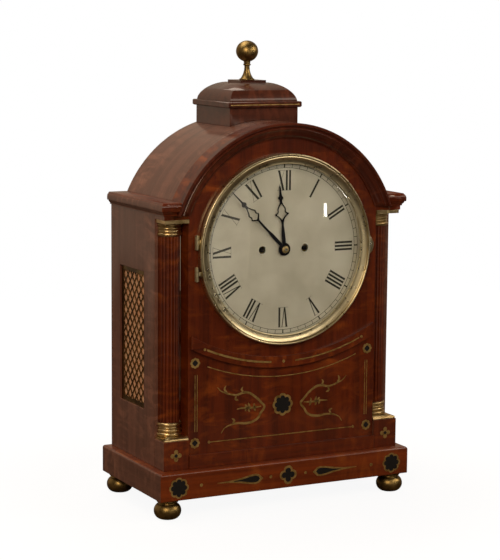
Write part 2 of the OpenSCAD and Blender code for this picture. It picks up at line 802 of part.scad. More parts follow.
// The pierced spade of a hand, centred at y.
module spade(y, h, w) {
    difference() {
        polygon([[0, y - h * 0.5], [w * 0.2, y - h * 0.42], [w * 0.3, y - h * 0.22], [w * 0.5, y - h * 0.1],
            [w * 0.3, y], [w * 0.24, y + h * 0.2], [0, y + h * 0.5], [-w * 0.24, y + h * 0.2], [-w * 0.3, y],
            [-w * 0.5, y - h * 0.1], [-w * 0.3, y - h * 0.22], [-w * 0.2, y - h * 0.42]]);
        polygon([[0, y - h * 0.34], [w * 0.14, y - h * 0.2], [w * 0.2, y - h * 0.06], [0, y + h * 0.28],
            [-w * 0.2, y - h * 0.06], [-w * 0.14, y - h * 0.2]]);
    }
}

hour_y = dial_y - 1.5;
minute_y = dial_y - 3.4;
hand_t = 0.8;
hour_pipe_r = 3.9;
cannon_r = 2.6;
centre_r = 1.5;

module hour_hand() {
    color(blued) stand(hour_y, hand_t, centre_p, hour_turn) difference() {
        union() {
            circle(r = 6.6);
            blade(4, 4.6, hour_len * 0.48, 2);
            spade(hour_len * 0.61, hour_len * 0.3, 17);
            blade(hour_len * 0.72, 3.4, hour_len * 0.78, 5.4);
            blade(hour_len * 0.78, 5.4, hour_len * 0.85, 1.8);
            blade(hour_len * 0.85, 1.8, hour_len, 0.6);
        }
        circle(r = hour_pipe_r - 0.9 + 2 * eps);
    }
}

module minute_hand() {
    color(blued) stand(minute_y, hand_t, centre_p, minute_turn) difference() {
        union() {
            circle(r = 5);
            blade(3, 3.8, minute_len * 0.5, 1.9);
            spade(minute_len * 0.58, minute_len * 0.2, 13.5);
            blade(minute_len * 0.66, 2.4, minute_len * 0.7, 4.6);
            blade(minute_len * 0.7, 4.6, minute_len * 0.75, 1.6);
            blade(minute_len * 0.75, 1.6, minute_len, 0.6);
        }
        circle(r = centre_r + eps);
    }
}

module hand_collet() {
    low = minute_y - hand_t;
    color(bright) {
        difference() {
            translate([0, low, dial_z]) rotate([90, 0, 0]) rotate_extrude()
                polygon([[0.2, 0], [4.2, 0], [4.2, 0.4], [3.6, 1.3], [2.3, 1.9], [0.2, 1.9]]);
            rod(centre_p, centre_r + eps, low - 4, low + 1);
        }
    }
}

// ---------- movement ----------

pillar_places = [[-62, -84], [62, -84], [-62, 76], [62, 76], [0, -84]];

module plate_outline() {
    translate([-plate_half, plate_low]) square([2 * plate_half, plate_high - plate_low]);
}

front_holes = [[third_p, 1.2], [escape_p, 1.2], [pallet_p, 1.2], [pin_p, 1.2], [hammer_p, 1.6], [centre_p, 2],
    [going_p, 3], [strike_p, 3], [going_barrel_p, 2.2], [strike_barrel_p, 2.2]];
back_holes = [[third_p, 1.2], [escape_p, 1.2], [pin_p, 1.2], [hammer_p, 1.6], [centre_p, 1.2],
    [going_p, 2], [strike_p, 2], [going_barrel_p, 2.2], [strike_barrel_p, 2.2]];

module front_plate() {
    color(brass) difference() {
        stand(plate_in, plate_t) plate_outline();
        for (h = front_holes) rod(h[0], h[1] + pivot_gap, plate_front - 1, plate_in + 1);
        for (p = pillar_places) rod(centre_p + p, 2, plate_front - 1, plate_in + 1);
        rod(motion_p, stud_r + eps, plate_front - 1, plate_in + 1);
    }
}

module back_plate() {
    color(brass) difference() {
        stand(plate_rear, plate_t) plate_outline();
        for (h = back_holes) rod(h[0], h[1] + pivot_gap, plate_rear_in - 1, plate_rear + 1);
        for (p = pillar_places) rod(centre_p + p, 2, plate_rear_in - 1, plate_rear + 1);
        rod(pallet_p, 4, plate_rear_in - 1, plate_rear + 1);
    }
}

// Five turned pillars, pinned through the front plate and riveted in the back plate, and the motion stud.
module plate_pillars() {
    color(brass) {
        for (p = pillar_places) translate([p[0], plate_rear, dial_z + p[1]]) rotate([90, 0, 0]) {
            cylinder(h = plate_gap + 2 * plate_t + 3, r = 1.98);
            translate([0, 0, plate_t]) rotate_extrude() polygon([[1, 0], [6, 0], [6, 3], [4.4, 4.5], [3.6, 12],
                [4.8, plate_gap / 2 - 2.5], [6, plate_gap / 2], [4.8, plate_gap / 2 + 2.5],
                [3.6, plate_gap - 12], [4.4, plate_gap - 4.5], [6, plate_gap - 3], [6, plate_gap], [1, plate_gap]]);
        }
        rod(motion_p, stud_r, dial_y + dial_t + 3, plate_in);
    }
}

module seat_board() {
    hole = 5;
    low = plate_low - seat_t;
    color(wood) difference() {
        translate([-side_in, board_back, low]) cube([2 * side_in, plate_rear + 1 - board_back, seat_t]);
        // clears the recess of the columns and the back of the front board
        for (s = [-1, 1]) on_side(s) translate([recess_x - 1, board_back - 1, low - 1])
            cube([side_t + recess_w, recess_back - board_back + 2, seat_t + 2]);
        for (x = [-46, 46]) translate([x, plate_in + 25, low - 1]) cylinder(h = seat_t + 2, r = hole);
    }
}

barrel_y = [plate_in + 4, plate_rear_in - 8];

module barrel(p) {
    color(bright) {
        rod(p, barrel_r, barrel_y[0], barrel_y[1]);
        for (y = barrel_y) rod(p, barrel_r + 0.9, y - 0.75, y + 0.75);
        rod(p, 4, plate_in + 1, plate_rear_in - 1);
        rod(p, 2.2, plate_front - 4, plate_rear + 3);
    }
}

module going_barrel() barrel(going_barrel_p);

module strike_barrel() barrel(strike_barrel_p);

// A fusee: cone with a spiral's steps, great wheel at its foot and a squared winding arbor.
module fusee(p, n, m, tooth_at) {
    wheel_y = plate_rear_in - 3.5;
    cone_back = wheel_y - 3.4;
    turns = 12;
    pitch = (cone_back - plate_in - 7) / turns;
    color(bright) {
        stand(wheel_y, 2.4, p, tooth_at) wheel_ring(n, m);
        translate([p[0], cone_back + 1.01, p[1]]) rotate([90, 0, 0]) rotate_extrude() polygon(concat(
            [[1, 0], [21, 0], [21, 1]],
            [for (i = [0 : turns - 1], k = [0, 1, 2])
                let (r = 9 + 11.4 * pow((turns - i) / (turns + 1), 1.6))
                [k == 1 ? r - 0.8 : r, 1 + (i + k / 2.6) * pitch]],
            [[1, 1 + (turns - 0.2) * pitch]]));
        rod(p, 3, plate_front - 6, wheel_y);
        rod(p, 2, wheel_y - 1, plate_rear + 1.5);
    }
    color(steel) translate([p[0], 0, p[1]]) {
        translate([-2.1, dial_y - 0.6, -2.1]) cube([4.2, plate_front - 5 - dial_y, 4.2]);
    }
}

module going_fusee() fusee(going_p, great_n, great_m, 180);

module strike_fusee() fusee(strike_p, strike_n, strike_m, pin_dir);

// Centre arbor with its pinion at the back and centre wheel at the front.
module centre_wheel() {
    wheel_y = plate_in + 3.6;
    color(bright) stand(wheel_y, 1.6, centre_p, 90) crossed_wheel(centre_n, centre_m, 4);
    color(steel) {
        stand(plate_rear_in - 2.6, 4.2, centre_p, 180 / pinion_n) leaf_ring(pinion_n, great_m);
        rod(centre_p, 1.2, plate_rear_in - 8, plate_rear + 1);
        rod(centre_p, centre_r, minute_y - hand_t - 2.4, plate_rear_in - 6);
        rod(centre_p, 1.99, plate_front - 0.4, plate_in + 1.8);
    }
}

// A thin arbor with a pinion and a wheel; each is [back face, thickness, turn].
module arbor(p, wheel_n, wheel_m, wheel, pinion_m, leaf) {
    color(bright) stand(wheel[0], wheel[1], p, wheel[2]) crossed_wheel(wheel_n, wheel_m, 3);
    color(steel) {
        stand(leaf[0], leaf[1], p, leaf[2]) leaf_ring(leaf_n, pinion_m);
        rod(p, 1.2, plate_front - 0.5, plate_rear + 0.5);
    }
}

third_wheel_y = plate_in + 8;
escape_y = plate_in + 26;

module third_wheel() {
    arbor(third_p, third_n, third_m, [third_wheel_y, 1.4, 90], centre_m, [plate_in + 4.4, 3, 90]);
}

// Recoil escape wheel with thirty raked teeth.
module escape_wheel() {
    pitch = 360 / escape_n;
    tooth = [for (i = [0 : escape_n - 1], k = [0 : 2])
        let (rad = k == 1 ? escape_r : escape_r - 3, a = (i + [0, 0.12, 0.62][k]) * pitch)
        rad * [cos(a), sin(a)]];
    color(bright) stand(escape_y, 1.2, escape_p) {
        difference() {
            polygon(tooth);
            circle(r = escape_r - 4.6);
        }
        for (a = [0, 90]) rotate(a) square([2 * escape_r - 9, 1.4], center = true);
        circle(r = 2.6);
    }
    color(steel) {
        stand(third_wheel_y + 0.6, 2.6, escape_p, 90) leaf_ring(leaf_n, third_m);
        rod(escape_p, 1.2, plate_front - 0.5, plate_rear + 0.5);
    }
}

// Recoil anchor, its arbor and the crutch behind the back plate.
module pallet_anchor() {
    span = 12.6;
    drop = 22.6 - sqrt(pow(escape_r + 1.6, 2) - pow(span, 2));
    color(steel) {
        stand(escape_y + 0.6, 2.4, pallet_p) {
            circle(r = 3.4);
            for (s = [-1, 1]) {
                polygon([[s * 1, 3], [s * (span + 1), -drop + 6], [s * (span + 1.8), -drop + 1],
                    [s * (span - 0.2), -drop + 0.4], [s * (span - 1.8), -drop + 5], [s * 1, -2]]);
            }
        }
        rod(pallet_p, 1.2, plate_front - 0.5, cock_y + 2);
        rod(pallet_p, 2.4, crutch_y - 2, crutch_y + 2);
        // crutch with a fork around the pendulum rod
        translate([-1, crutch_y - 1, pallet_p[1] - 62]) cube([2, 2, 62]);
        for (s = [-1, 1]) translate([s * 2.7 - 0.7, crutch_y - 1, pallet_p[1] - 66])
            cube([1.4, pendulum_y - crutch_y + 3, 3]);
        translate([-3.4, crutch_y - 1, pallet_p[1] - 66]) cube([6.8, 2, 5]);
    }
}

// Back cock: carries the rear pivot of the pallet arbor and the pendulum's suspension.
module back_cock() {
    foot_x = 13;
    color(brass) difference() {
        union() {
            for (s = [-1, 1]) translate([s * foot_x - 4, plate_rear, pallet_p[1] - 5])
                cube([8, cock_y - plate_rear, 11]);
            translate([-foot_x - 4, cock_y, pallet_p[1] - 5]) cube([2 * foot_x + 8, 3, 18]);
            // slotted chop that holds the suspension spring
            translate([-3, cock_y + 3 - eps, pallet_p[1] + 9]) cube([6, pendulum_y - cock_y, 4]);
        }
        rod(pallet_p, 1.2 + pivot_gap, cock_y - 1, cock_y + 4);
        translate([-0.3, pendulum_y - 1.25, pallet_p[1] + 8]) cube([0.6, 4.5, 6]);
    }
}

// Pendulum: suspension spring, rod and lenticular bob with its rating nut.
module pendulum() {
    bob_z = pallet_p[1] - pendulum_len;
    bob_r = 24;
    bob_t = 11;
    curve = (pow(bob_r, 2) + pow(bob_t / 2, 2)) / bob_t;
    color(steel) {
        translate([-0.25, pendulum_y - 1.2, pallet_p[1] - 9]) cube([0.5, 2.4, 17.7]);
        translate([0, pendulum_y, bob_z - bob_r - 9]) cylinder(h = pendulum_len + bob_r + 1, r = 1.5);
    }
    color(bright) {
        difference() {
            intersection() {
                translate([0, pendulum_y - curve + bob_t / 2, bob_z]) sphere(r = curve, $fn = 180);
                translate([0, pendulum_y + curve - bob_t / 2, bob_z]) sphere(r = curve, $fn = 180);
            }
            translate([0, pendulum_y, bob_z - bob_r - 1]) cylinder(h = 2 * bob_r + 2, r = 1.5);
        }
        translate([0, pendulum_y, bob_z - bob_r - 4]) difference() {
            cylinder(h = 3.4, r = 4.4);
            translate([0, 0, -1]) cylinder(h = 6, r = 1.5);
        }
    }
}

// Pin wheel of the strike: eight pins lift the hammer's tail.
module pin_wheel() {
    wheel_y = plate_in + 4.2;
    color(bright) stand(wheel_y, 1.6, pin_p) crossed_wheel(pin_n, pin_m, 3);
    color(steel) {
        for (i = [0 : 7]) translate([pin_p[0], 0, pin_p[1]]) rotate([0, i * 45 + 22.5, 0])
            translate([0, wheel_y + 3, lift_pin_r]) rotate([90, 0, 0]) cylinder(h = 4, r = 0.7);
        stand(plate_rear_in - 2.6, 4.2, pin_p, pin_dir + 180 + 180 / pinion_n) leaf_ring(pinion_n, strike_m);
        rod(pin_p, 1.2, plate_front - 0.5, plate_rear + 0.5);
    }
}

bell_r = 42;
bell_y = plate_rear_in - 10;
bell_low = plate_high + 7;

// Hammer: arbor, tail, stem and head beside the bell's rim.
module strike_hammer() {
    head_x = -bell_r - 1.2;
    stem_x = head_x - 5.5;
    top = bell_low + 3;
    color(steel) {
        rod(hammer_p, 1.6, plate_front - 0.5, plate_rear + 0.5);
        translate([hammer_p[0] - 2.4, bell_y - 2, hammer_p[1] - 2.4]) cube([4.8, 4, 4.8]);
        stand(bell_y + 1.2, 2.4) polygon([[hammer_p[0] - 1.3, hammer_p[1]], [hammer_p[0] + 1.3, hammer_p[1]],
            [stem_x + 1.2, top], [stem_x - 1.2, top]]);
        translate([head_x - 11, bell_y, top]) rotate([0, 90, 0]) cylinder(h = 11, r = 3.6);
        // tail reaching down beside the lifting pins
        stand(plate_in + 7.4, 2) polygon([[hammer_p[0] - 1.6, hammer_p[1] + 1], [hammer_p[0] + 1.6, hammer_p[1] + 1],
            pin_p + tail_r * [cos(128), sin(128)], pin_p + tail_r * [cos(134), sin(134)]]);
    }
}

module bell() {
    wall = 2;
    h = 32;
    color(bright) translate([0, bell_y, bell_low]) difference() {
        rotate_extrude() polygon(concat(
            [[bell_r - wall, 0], [bell_r, 0], [bell_r, 1.6], [bell_r - 2, 4]],
            [for (a = [10 : 8 : 90]) [max((bell_r - 2) * pow(cos(a), 0.7), 0), 3 + (h - 3) * sin(a)]],
            [for (a = [90 : -8 : 10]) [max((bell_r - 2 - wall) * pow(cos(a), 0.7), 0),
                                       3 + (h - 3 - wall) * sin(a)]]));
        translate([0, 0, h - 6]) cylinder(h = 10, r = 2.1);
    }
}

// Steel stand that carries the bell at its crown, screwed to the back plate.
module bell_stand() {
    crown = bell_low + 30;
    foot_x = 20;
    color(steel) {
        translate([foot_x, plate_rear, plate_high - 26]) cube([10, 3, crown - 16 - plate_high + 26]);
        translate([-5, plate_rear, crown - 19]) cube([foot_x + 6, 3, 3]);
        translate([-5, bell_y - 5, crown - 19]) cube([10, plate_rear + 3 - bell_y + 5, 3]);
        translate([0, bell_y, crown - 17]) cylinder(h = 22, r = 2);
        translate([0, bell_y, crown - 8.2]) cylinder(h = 6, r = 4.5);
        translate([0, bell_y, crown + 2.1]) cylinder(h = 2.6, r = 4.2);
    }
}

// Gut lines: wound on each barrel, then straight up to its fusee.
module gut_lines() {
    gut = 0.7;
    run_y = plate_in + 26;
    wraps = 7;
    fusee_r = 14.6;
    reach = norm([barrel_out, barrel_drop]);
    lean = atan2(barrel_drop, -barrel_out);
    line_r = barrel_r + 0.3 + gut;
    side_a = lean - 90 + asin((line_r - fusee_r) / reach);
    color([0.75, 0.62, 0.4]) for (side = [-1, 1]) on_side(side) {
        for (i = [1 : wraps]) translate([going_barrel_p[0], run_y - i * 2 * gut * 1.3, going_barrel_p[1]])
            rotate([90, 0, 0]) rotate_extrude() translate([line_r, 0]) circle(r = gut, $fn = 16);
        a = going_barrel_p + line_r * [cos(side_a), sin(side_a)];
        b = going_p + fusee_r * [cos(side_a), sin(side_a)];
        d = b - a;
        translate([a[0], run_y, a[1]]) rotate([0, 90 - atan2(d[1], d[0]), 0]) cylinder(h = norm(d), r = gut);
    }
}

// ---------- motion work ----------

cannon_wheel_y = plate_front - 1.6;
hour_wheel_y = plate_front - 6.4;

module cannon_wheel() {
    color(bright) difference() {
        union() {
            stand(cannon_wheel_y, 1.6, centre_p, motion_dir) wheel_ring(cannon_n, motion_m);
            rod(centre_p, cannon_r, minute_y + eps, cannon_wheel_y);
        }
        rod(centre_p, centre_r + eps, minute_y - 2, plate_front + 2);
    }
}

// Minute wheel with its eight-leaf pinion, turning on the stud in the front plate.
module minute_wheel() {
    color(bright) difference() {
        union() {
            stand(cannon_wheel_y + 0.2, 1.8, motion_p, motion_dir + 180 + 180 / motion_n)
                wheel_ring(motion_n, motion_m);
            stand(cannon_wheel_y, cannon_wheel_y - hour_wheel_y + 2.2, motion_p, motion_dir + 180)
                leaf_ring(motion_leaf, hour_m);
        }
        rod(motion_p, stud_r + pivot_gap, dial_y, plate_front + 2);
    }
}

// Hour wheel with the stepped snail and the pipe that carries the hour hand.
module hour_wheel() {
    color(bright) difference() {
        union() {
            stand(hour_wheel_y, 1.6, centre_p, motion_dir + 180 / hour_n) wheel_ring(hour_n, hour_m);
            stand(hour_wheel_y - 1.5, 1.4, centre_p) for (i = [0 : 11])
                rotate(i * 30) intersection() {
                    circle(r = 6 + i * 0.65, $fn = 60);
                    polygon([[0, 0], [20, 0], [20 * cos(30), 20 * sin(30)]]);
                }
            rod(centre_p, hour_pipe_r, hour_y + eps, hour_wheel_y);
            rod(centre_p, hour_pipe_r - 0.9, hour_y - hand_t, hour_y + 1);
        }
        rod(centre_p, cannon_r + pivot_gap, dial_y - 10, plate_front + 2);
    }
}

// ---------- drawing ----------
base_plinth();
foot_front_left();
foot_front_right();
foot_rear_left();
foot_rear_right();
pedestal_left();
pedestal_right();
front_board();
swag_band();
bottom_rail();
side_board_left();
side_board_right();
side_fret_left();
side_fret_right();
fret_silks();
column_left();
column_right();
column_capitals();
column_bases();
arch_moulding();
shoulder_moulding_left();
shoulder_moulding_right();
roof_shell();
rear_frame();
cap_box();
cap_moulding();
cap_cushion();
finial();
bezel();
bezel_glass();
bezel_hinges();
back_door();
back_door_glass();
back_door_hinges();
dial_plate();
hour_hand();
minute_hand();
hand_collet();
front_plate();
back_plate();
plate_pillars();
seat_board();
going_barrel();
going_fusee();
centre_wheel();
third_wheel();
escape_wheel();
pallet_anchor();
back_cock();
pendulum();
strike_barrel();
strike_fusee();
pin_wheel();
strike_hammer();
bell();
bell_stand();
gut_lines();
cannon_wheel();
minute_wheel();
hour_wheel();
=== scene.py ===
import json
import math

import bmesh
import bpy
from mathutils import Matrix, Vector


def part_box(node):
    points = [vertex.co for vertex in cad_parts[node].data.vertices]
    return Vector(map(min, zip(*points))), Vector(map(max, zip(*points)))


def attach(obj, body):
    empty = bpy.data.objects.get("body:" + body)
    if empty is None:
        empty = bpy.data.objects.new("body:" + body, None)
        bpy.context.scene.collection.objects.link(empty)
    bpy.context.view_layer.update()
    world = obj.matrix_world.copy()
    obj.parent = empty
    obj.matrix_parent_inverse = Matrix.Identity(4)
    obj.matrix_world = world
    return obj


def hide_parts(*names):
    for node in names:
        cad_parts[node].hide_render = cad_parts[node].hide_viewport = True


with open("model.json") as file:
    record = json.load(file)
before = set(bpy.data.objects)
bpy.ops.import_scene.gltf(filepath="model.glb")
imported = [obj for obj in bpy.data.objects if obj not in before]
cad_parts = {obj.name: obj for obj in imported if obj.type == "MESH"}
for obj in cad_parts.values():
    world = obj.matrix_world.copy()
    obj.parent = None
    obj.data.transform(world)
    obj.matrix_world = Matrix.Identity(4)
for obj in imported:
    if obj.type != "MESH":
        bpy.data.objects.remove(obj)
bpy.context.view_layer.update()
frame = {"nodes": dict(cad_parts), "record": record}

# ---------------------------------------------------------------- camera
# A long lens a little over two metres away, to the left of the clock and slightly above its dial.
VIEW_AZIMUTH = math.radians(27.45)
VIEW_HEIGHT = math.radians(8.23)
VIEW_ROLL = math.radians(0.475)
VIEW_DISTANCE = 2.227
VIEW_AIM = Vector((-0.0089, 0.0, 0.2567))

forward = Vector((math.sin(VIEW_AZIMUTH) * math.cos(VIEW_HEIGHT),
                  math.cos(VIEW_AZIMUTH) * math.cos(VIEW_HEIGHT), -math.sin(VIEW_HEIGHT)))
level = forward.cross(Vector((0, 0, 1))).normalized()
upward = level.cross(forward)
right = level * math.cos(VIEW_ROLL) + upward * math.sin(VIEW_ROLL)
up = upward * math.cos(VIEW_ROLL) - level * math.sin(VIEW_ROLL)
lens = bpy.data.cameras.new("clock_camera")
lens.lens = 120.69
lens.sensor_width = 36
camera = bpy.data.objects.new("clock_camera", lens)
camera.matrix_world = Matrix((
    (right.x, up.x, -forward.x, 0), (right.y, up.y, -forward.y, 0),
    (right.z, up.z, -forward.z, 0), (0, 0, 0, 1)))
camera.location = VIEW_AIM - forward * VIEW_DISTANCE
bpy.context.scene.collection.objects.link(camera)
bpy.context.scene.camera = camera


# ---------------------------------------------------------------- studio
# A roll of white paper under and behind the clock in an otherwise dark room. Warm soft boxes stand
# by the camera, on the right and overhead, with a small window and two warm cards in front; the
# white backdrop shows in the polished sides.
def tone(hex_colour):
    """A hex sRGB colour as the linear values that shaders take."""
    parts = [int(hex_colour[i:i + 2], 16) / 255 for i in (1, 3, 5)]
    return [p / 12.92 if p <= 0.04045 else ((p + 0.055) / 1.055) ** 2.4 for p in parts] + [1.0]


def add(tree, kind, inputs=None, **settings):
    """One node with its settings; a shader node goes by its short name. An input is a value, a
    socket, or a node, whose first output in use feeds it."""
    made = tree.nodes.new(kind if "Node" in kind else "ShaderNode" + kind)
    for key, value in settings.items():
        setattr(made, key, value)
    for key, value in (inputs or {}).items():
        if isinstance(value, bpy.types.Node):
            value = next(output for output in value.outputs if output.enabled)
        if isinstance(value, bpy.types.NodeSocket):
            tree.links.new(value, made.inputs[key])
        else:
            made.inputs[key].default_value = value
    return made


def new_material(name):
    """An empty material and its tree."""
    made = bpy.data.materials.new(name)
    made.use_nodes = True
    made.node_tree.nodes.clear()
    return made, made.node_tree


def soft_box(name, place, aim, width, height, power, colour):
    lamp = bpy.data.lights.new(name, "AREA")
    lamp.shape = "RECTANGLE"
    lamp.size, lamp.size_y = width, height
    lamp.energy = power
    lamp.color = tone(colour)[:3]
    holder = bpy.data.objects.new(name, lamp)
    holder.location = place
    holder.rotation_euler = (Vector(aim) - Vector(place)).to_track_quat("-Z", "Y").to_euler()
    bpy.context.scene.collection.objects.link(holder)


bpy.context.scene.view_settings.view_transform = "Standard"
room = bpy.data.worlds.new("studio")
bpy.context.scene.world = room
room.use_nodes = True
tree = room.node_tree
tree.nodes.clear()
seen = add(tree, "LightPath").outputs["Is Camera Ray"]
facing = add(tree, "SeparateXYZ", {0: add(tree, "TexCoord").outputs["Generated"]})
# the backdrop is bright behind and on the left, and the room in front is dark
behind = add(tree, "MapRange", {"Value": facing.outputs[1], "From Min": -0.1, "From Max": 0.6,
                                          "To Min": 0.015, "To Max": 0.36})
strength = add(tree, "Mix", {0: seen, 2: behind, 3: 1.0})
hue = add(tree, "Mix", {0: seen, 6: tone("#ffe2c4"), 7: tone("#ffffff")}, data_type="RGBA")
backdrop = add(tree, "Background", {"Color": hue, "Strength": strength})
add(tree, "OutputWorld", {"Surface": backdrop})
clock_middle = (0, 0, 0.27)
soft_box("camera_side_box", (-1.3, -1.6, 1.2), clock_middle, 0.8, 1.0, 19, "#ffe6c8")
soft_box("right_box", (1.5, -0.9, 1.3), clock_middle, 0.5, 0.8, 8, "#ffeeda")
soft_box("small_window", (0.966, -1.19, 0.378), (0, -0.08, 0.33), 0.026, 0.09, 0.22, "#fffaf4")
soft_box("front_card", (0.05, -1.7, 0.3), (0, 0, 0.3), 0.8, 0.9, 1.3, "#fff0dc")
soft_box("high_card", (0.75, -1.45, 1.1), clock_middle, 0.9, 0.6, 4.0, "#fff0dc")
soft_box("overhead_box", (-0.3, 0.5, 1.9), clock_middle, 1.6, 1.0, 16, "#fff0de")

paper, tree = new_material("white_paper")
# near the clock the paper takes its soft shadow, and further off it is evenly white
seen = add(tree, "LightPath").outputs["Is Camera Ray"]
reach = add(tree, "VectorMath", {0: add(tree, "TexCoord").outputs["Object"]},
            operation="LENGTH")
share = add(tree, "MapRange", {"Value": reach, "From Min": 0.25, "From Max": 0.7, "To Min": 0.88})
share = add(tree, "Math", {0: seen, 1: share}, operation="MULTIPLY")
shade = add(tree, "Mix", {0: seen, 6: tone("#655950"), 7: tone("#f4f4f2")}, data_type="RGBA")
lit = add(tree, "BsdfDiffuse", {"Color": shade})
even = add(tree, "Emission", {"Color": tone("#ffffff"), "Strength": 1.05})
add(tree, "OutputMaterial", {"Surface": add(tree, "MixShader", {0: share, 1: lit, 2: even})})
sweep_mesh = bpy.data.meshes.new("floor")
sweep_mesh.from_pydata([(-1.2, -0.5, 0), (1.2, -0.5, 0), (1.2, 1.5, 0), (-1.2, 1.5, 0)], [], [(0, 1, 2, 3)])
sweep_mesh.materials.append(paper)
sweep = bpy.data.objects.new("floor", sweep_mesh)
bpy.context.scene.collection.objects.link(sweep)

# ---------------------------------------------------------------- base
# A mahogany plinth with a rounded top edge, veneered with the grain running along it and French
# polished. Its front is the rich, figured wood of the whole front; its ends take greyer, lighter tones: a painted
# sheen.
MM = 0.001


def mahogany(name, along, dark, plain, light, coat=0.85, coat_rough=0.09, ring=None, leaf=None):
    """Polished mahogany with its grain along axis 0, 1 or 2, or round a centre at height ring."""
    made, tree = new_material(name)
    place = add(tree, "TexCoord").outputs["Object"]
    seat = add(tree, "SeparateXYZ", {0: place})
    if ring is not None:
        height = add(tree, "Math", {0: seat.outputs[2], 1: ring}, operation="SUBTRACT")
        turn = add(tree, "Math", {0: height, 1: seat.outputs[0]}, operation="ARCTAN2")
        run = add(tree, "Math", {0: turn, 1: 140 * MM}, operation="MULTIPLY")
        flat = add(tree, "CombineXYZ", {0: seat.outputs[0], 2: height})
        out = add(tree, "VectorMath", {0: flat}, operation="LENGTH")
        place = add(tree, "CombineXYZ", {0: out, 1: seat.outputs[1], 2: run})
        along = 2
    # growth stripes 9 mm wide, cross figure 17 mm, open pores 0.5 mm by 9 mm, slow drifts of tone
    layer = {}
    for kind, across_mm, length_mm, detail, twist, low, high in (
            ("stripe", 9, 260, 5, 0.35, 0.3, 0.7), ("figure", 46, 17, 3, 1.4, 0.47, 0.76),
            ("pore", 0.5, 9, 2, 0.0, 0.57, 0.72), ("drift", 110, 160, 2, 0.6, 0.35, 0.65)):
        scale = [1 / (across_mm * MM)] * 3
        scale[along] = 1 / (length_mm * MM)
        drawn = add(tree, "Mapping", {"Vector": place, "Scale": scale, "Location": [across_mm] * 3})
        cloud = add(tree, "TexNoise", {"Vector": drawn, "Scale": 1.0, "Detail": detail,
                                                 "Roughness": 0.58, "Distortion": twist})
        layer[kind] = add(tree, "MapRange", {"Value": cloud, "From Min": low, "From Max": high})
    colour = add(tree, "Mix", {0: layer["stripe"], 6: tone(dark), 7: tone(plain)},
                 data_type="RGBA")
    glow = add(tree, "Math", {0: layer["figure"], 1: layer["drift"]}, operation="MULTIPLY")
    colour = add(tree, "Mix", {0: glow, 6: colour, 7: tone(light)}, data_type="RGBA")
    if leaf:
        # two leaves of veneer meet above the dial, and the right-hand one is darker
        past = add(tree, "Math", {0: seat.outputs[0], 1: leaf[0] * MM}, operation="GREATER_THAN")
        over = add(tree, "Math", {0: seat.outputs[2], 1: leaf[1] * MM}, operation="GREATER_THAN")
        both = add(tree, "Math", {0: past, 1: over}, operation="MULTIPLY")
        share = add(tree, "Math", {0: both, 1: 0.45}, operation="MULTIPLY")
        colour = add(tree, "Mix", {0: share, 6: colour, 7: tone(dark)}, data_type="RGBA")
    fleck = add(tree, "Math", {0: layer["pore"], 1: 0.55}, operation="MULTIPLY")
    colour = add(tree, "Mix", {0: fleck, 6: colour, 7: tone("#1a0803")}, data_type="RGBA")
    rough = add(tree, "MapRange", {"Value": layer["drift"], "To Min": 0.36, "To Max": 0.5})
    sunk = add(tree, "Math", {0: 1.0, 1: layer["pore"]}, operation="SUBTRACT")
    bump = add(tree, "Bump", {"Height": sunk, "Strength": 0.5, "Distance": 0.05 * MM})
    polish = add(tree, "BsdfPrincipled", {
        "Base Color": colour, "Roughness": rough, "Normal": bump, "Specular IOR Level": 0.2,
        "Coat Weight": coat, "Coat Roughness": coat_rough})
    add(tree, "OutputMaterial", {"Surface": polish})
    return made


def keep_sharp(mesh, degrees=32):
    """Smooth shading, with the corners over so many degrees kept sharp."""
    mesh.polygons.foreach_set("use_smooth", [True] * len(mesh.polygons))
    mesh.set_sharp_from_angle(angle=math.radians(degrees))


def new_piece(name, mesh, *materials):
    mesh.name = name
    mesh.materials.clear()
    for one in materials:
        mesh.materials.append(one)
    piece = bpy.data.objects.new(name, mesh)
    bpy.context.scene.collection.objects.link(piece)
    return piece


def made_plain(piece):
    """Turns a piece with live modifiers into its plain finished mesh."""
    baked = bpy.data.meshes.new_from_object(piece.evaluated_get(bpy.context.evaluated_depsgraph_get()))
    baked.name = piece.name
    piece.modifiers.clear()
    piece.data = baked
    return piece


def fit(piece, node):
    """The piece stands for its node, which is hidden, and rides on that node's body."""
    record = frame["record"]
    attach(piece, next(body for body, held in record["behaviour"]["bodies"].items() if node in held))
    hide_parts(node)
    return piece


def planed(node, *materials, ease_mm=0.0, sort=None):
    """A node's shape as one clean solid with its edges eased; sort(centre, normal) picks the material."""
    solid = bmesh.new()
    solid.from_mesh(frame["nodes"][node].data)
    bmesh.ops.remove_doubles(solid, verts=solid.verts, dist=1e-6)
    bmesh.ops.dissolve_limit(solid, angle_limit=math.radians(0.4), verts=solid.verts, edges=solid.edges)
    mesh = bpy.data.meshes.new(node)
    solid.to_mesh(mesh)
    solid.free()
    piece = new_piece(node + "_piece", mesh, *materials)
    if ease_mm:
        ease = piece.modifiers.new("eased_edge", "BEVEL")
        ease.width = ease_mm * MM
        ease.segments = 3
        ease.limit_method = "ANGLE"
        ease.angle_limit = math.radians(40)
        made_plain(piece)
    for face in piece.data.polygons:
        face.material_index = sort(face.center, face.normal) if sort else 0
    keep_sharp(piece.data, 12 if ease_mm else 32)
    return fit(piece, node)


FRONT_TONES = ("#451603", "#6f2a08", "#9c4a10")
# the side tones are greyer and lighter than the front's: a painted sheen of the white backdrop in the polish
SIDE_SHEEN_TONES = ("#5e3c30", "#7d5142", "#9f6b56")
front_along_x = mahogany("mahogany_front_along_x", 0, *FRONT_TONES)
# faces turned sideways take the side tones, and so their painted sheen
end_along_y = mahogany("mahogany_end_along_y", 1, *SIDE_SHEEN_TONES, coat=0.7, coat_rough=0.2)


def faces_sideways(centre, normal):
    return 1 if abs(normal.x) > 0.75 else 0


base_along_x = mahogany("mahogany_base_front", 0, "#571f04", "#86390d", "#ac5c1c", coat=0.7)
planed("base_plinth", base_along_x, end_along_y, ease_mm=0.6, sort=faces_sideways)


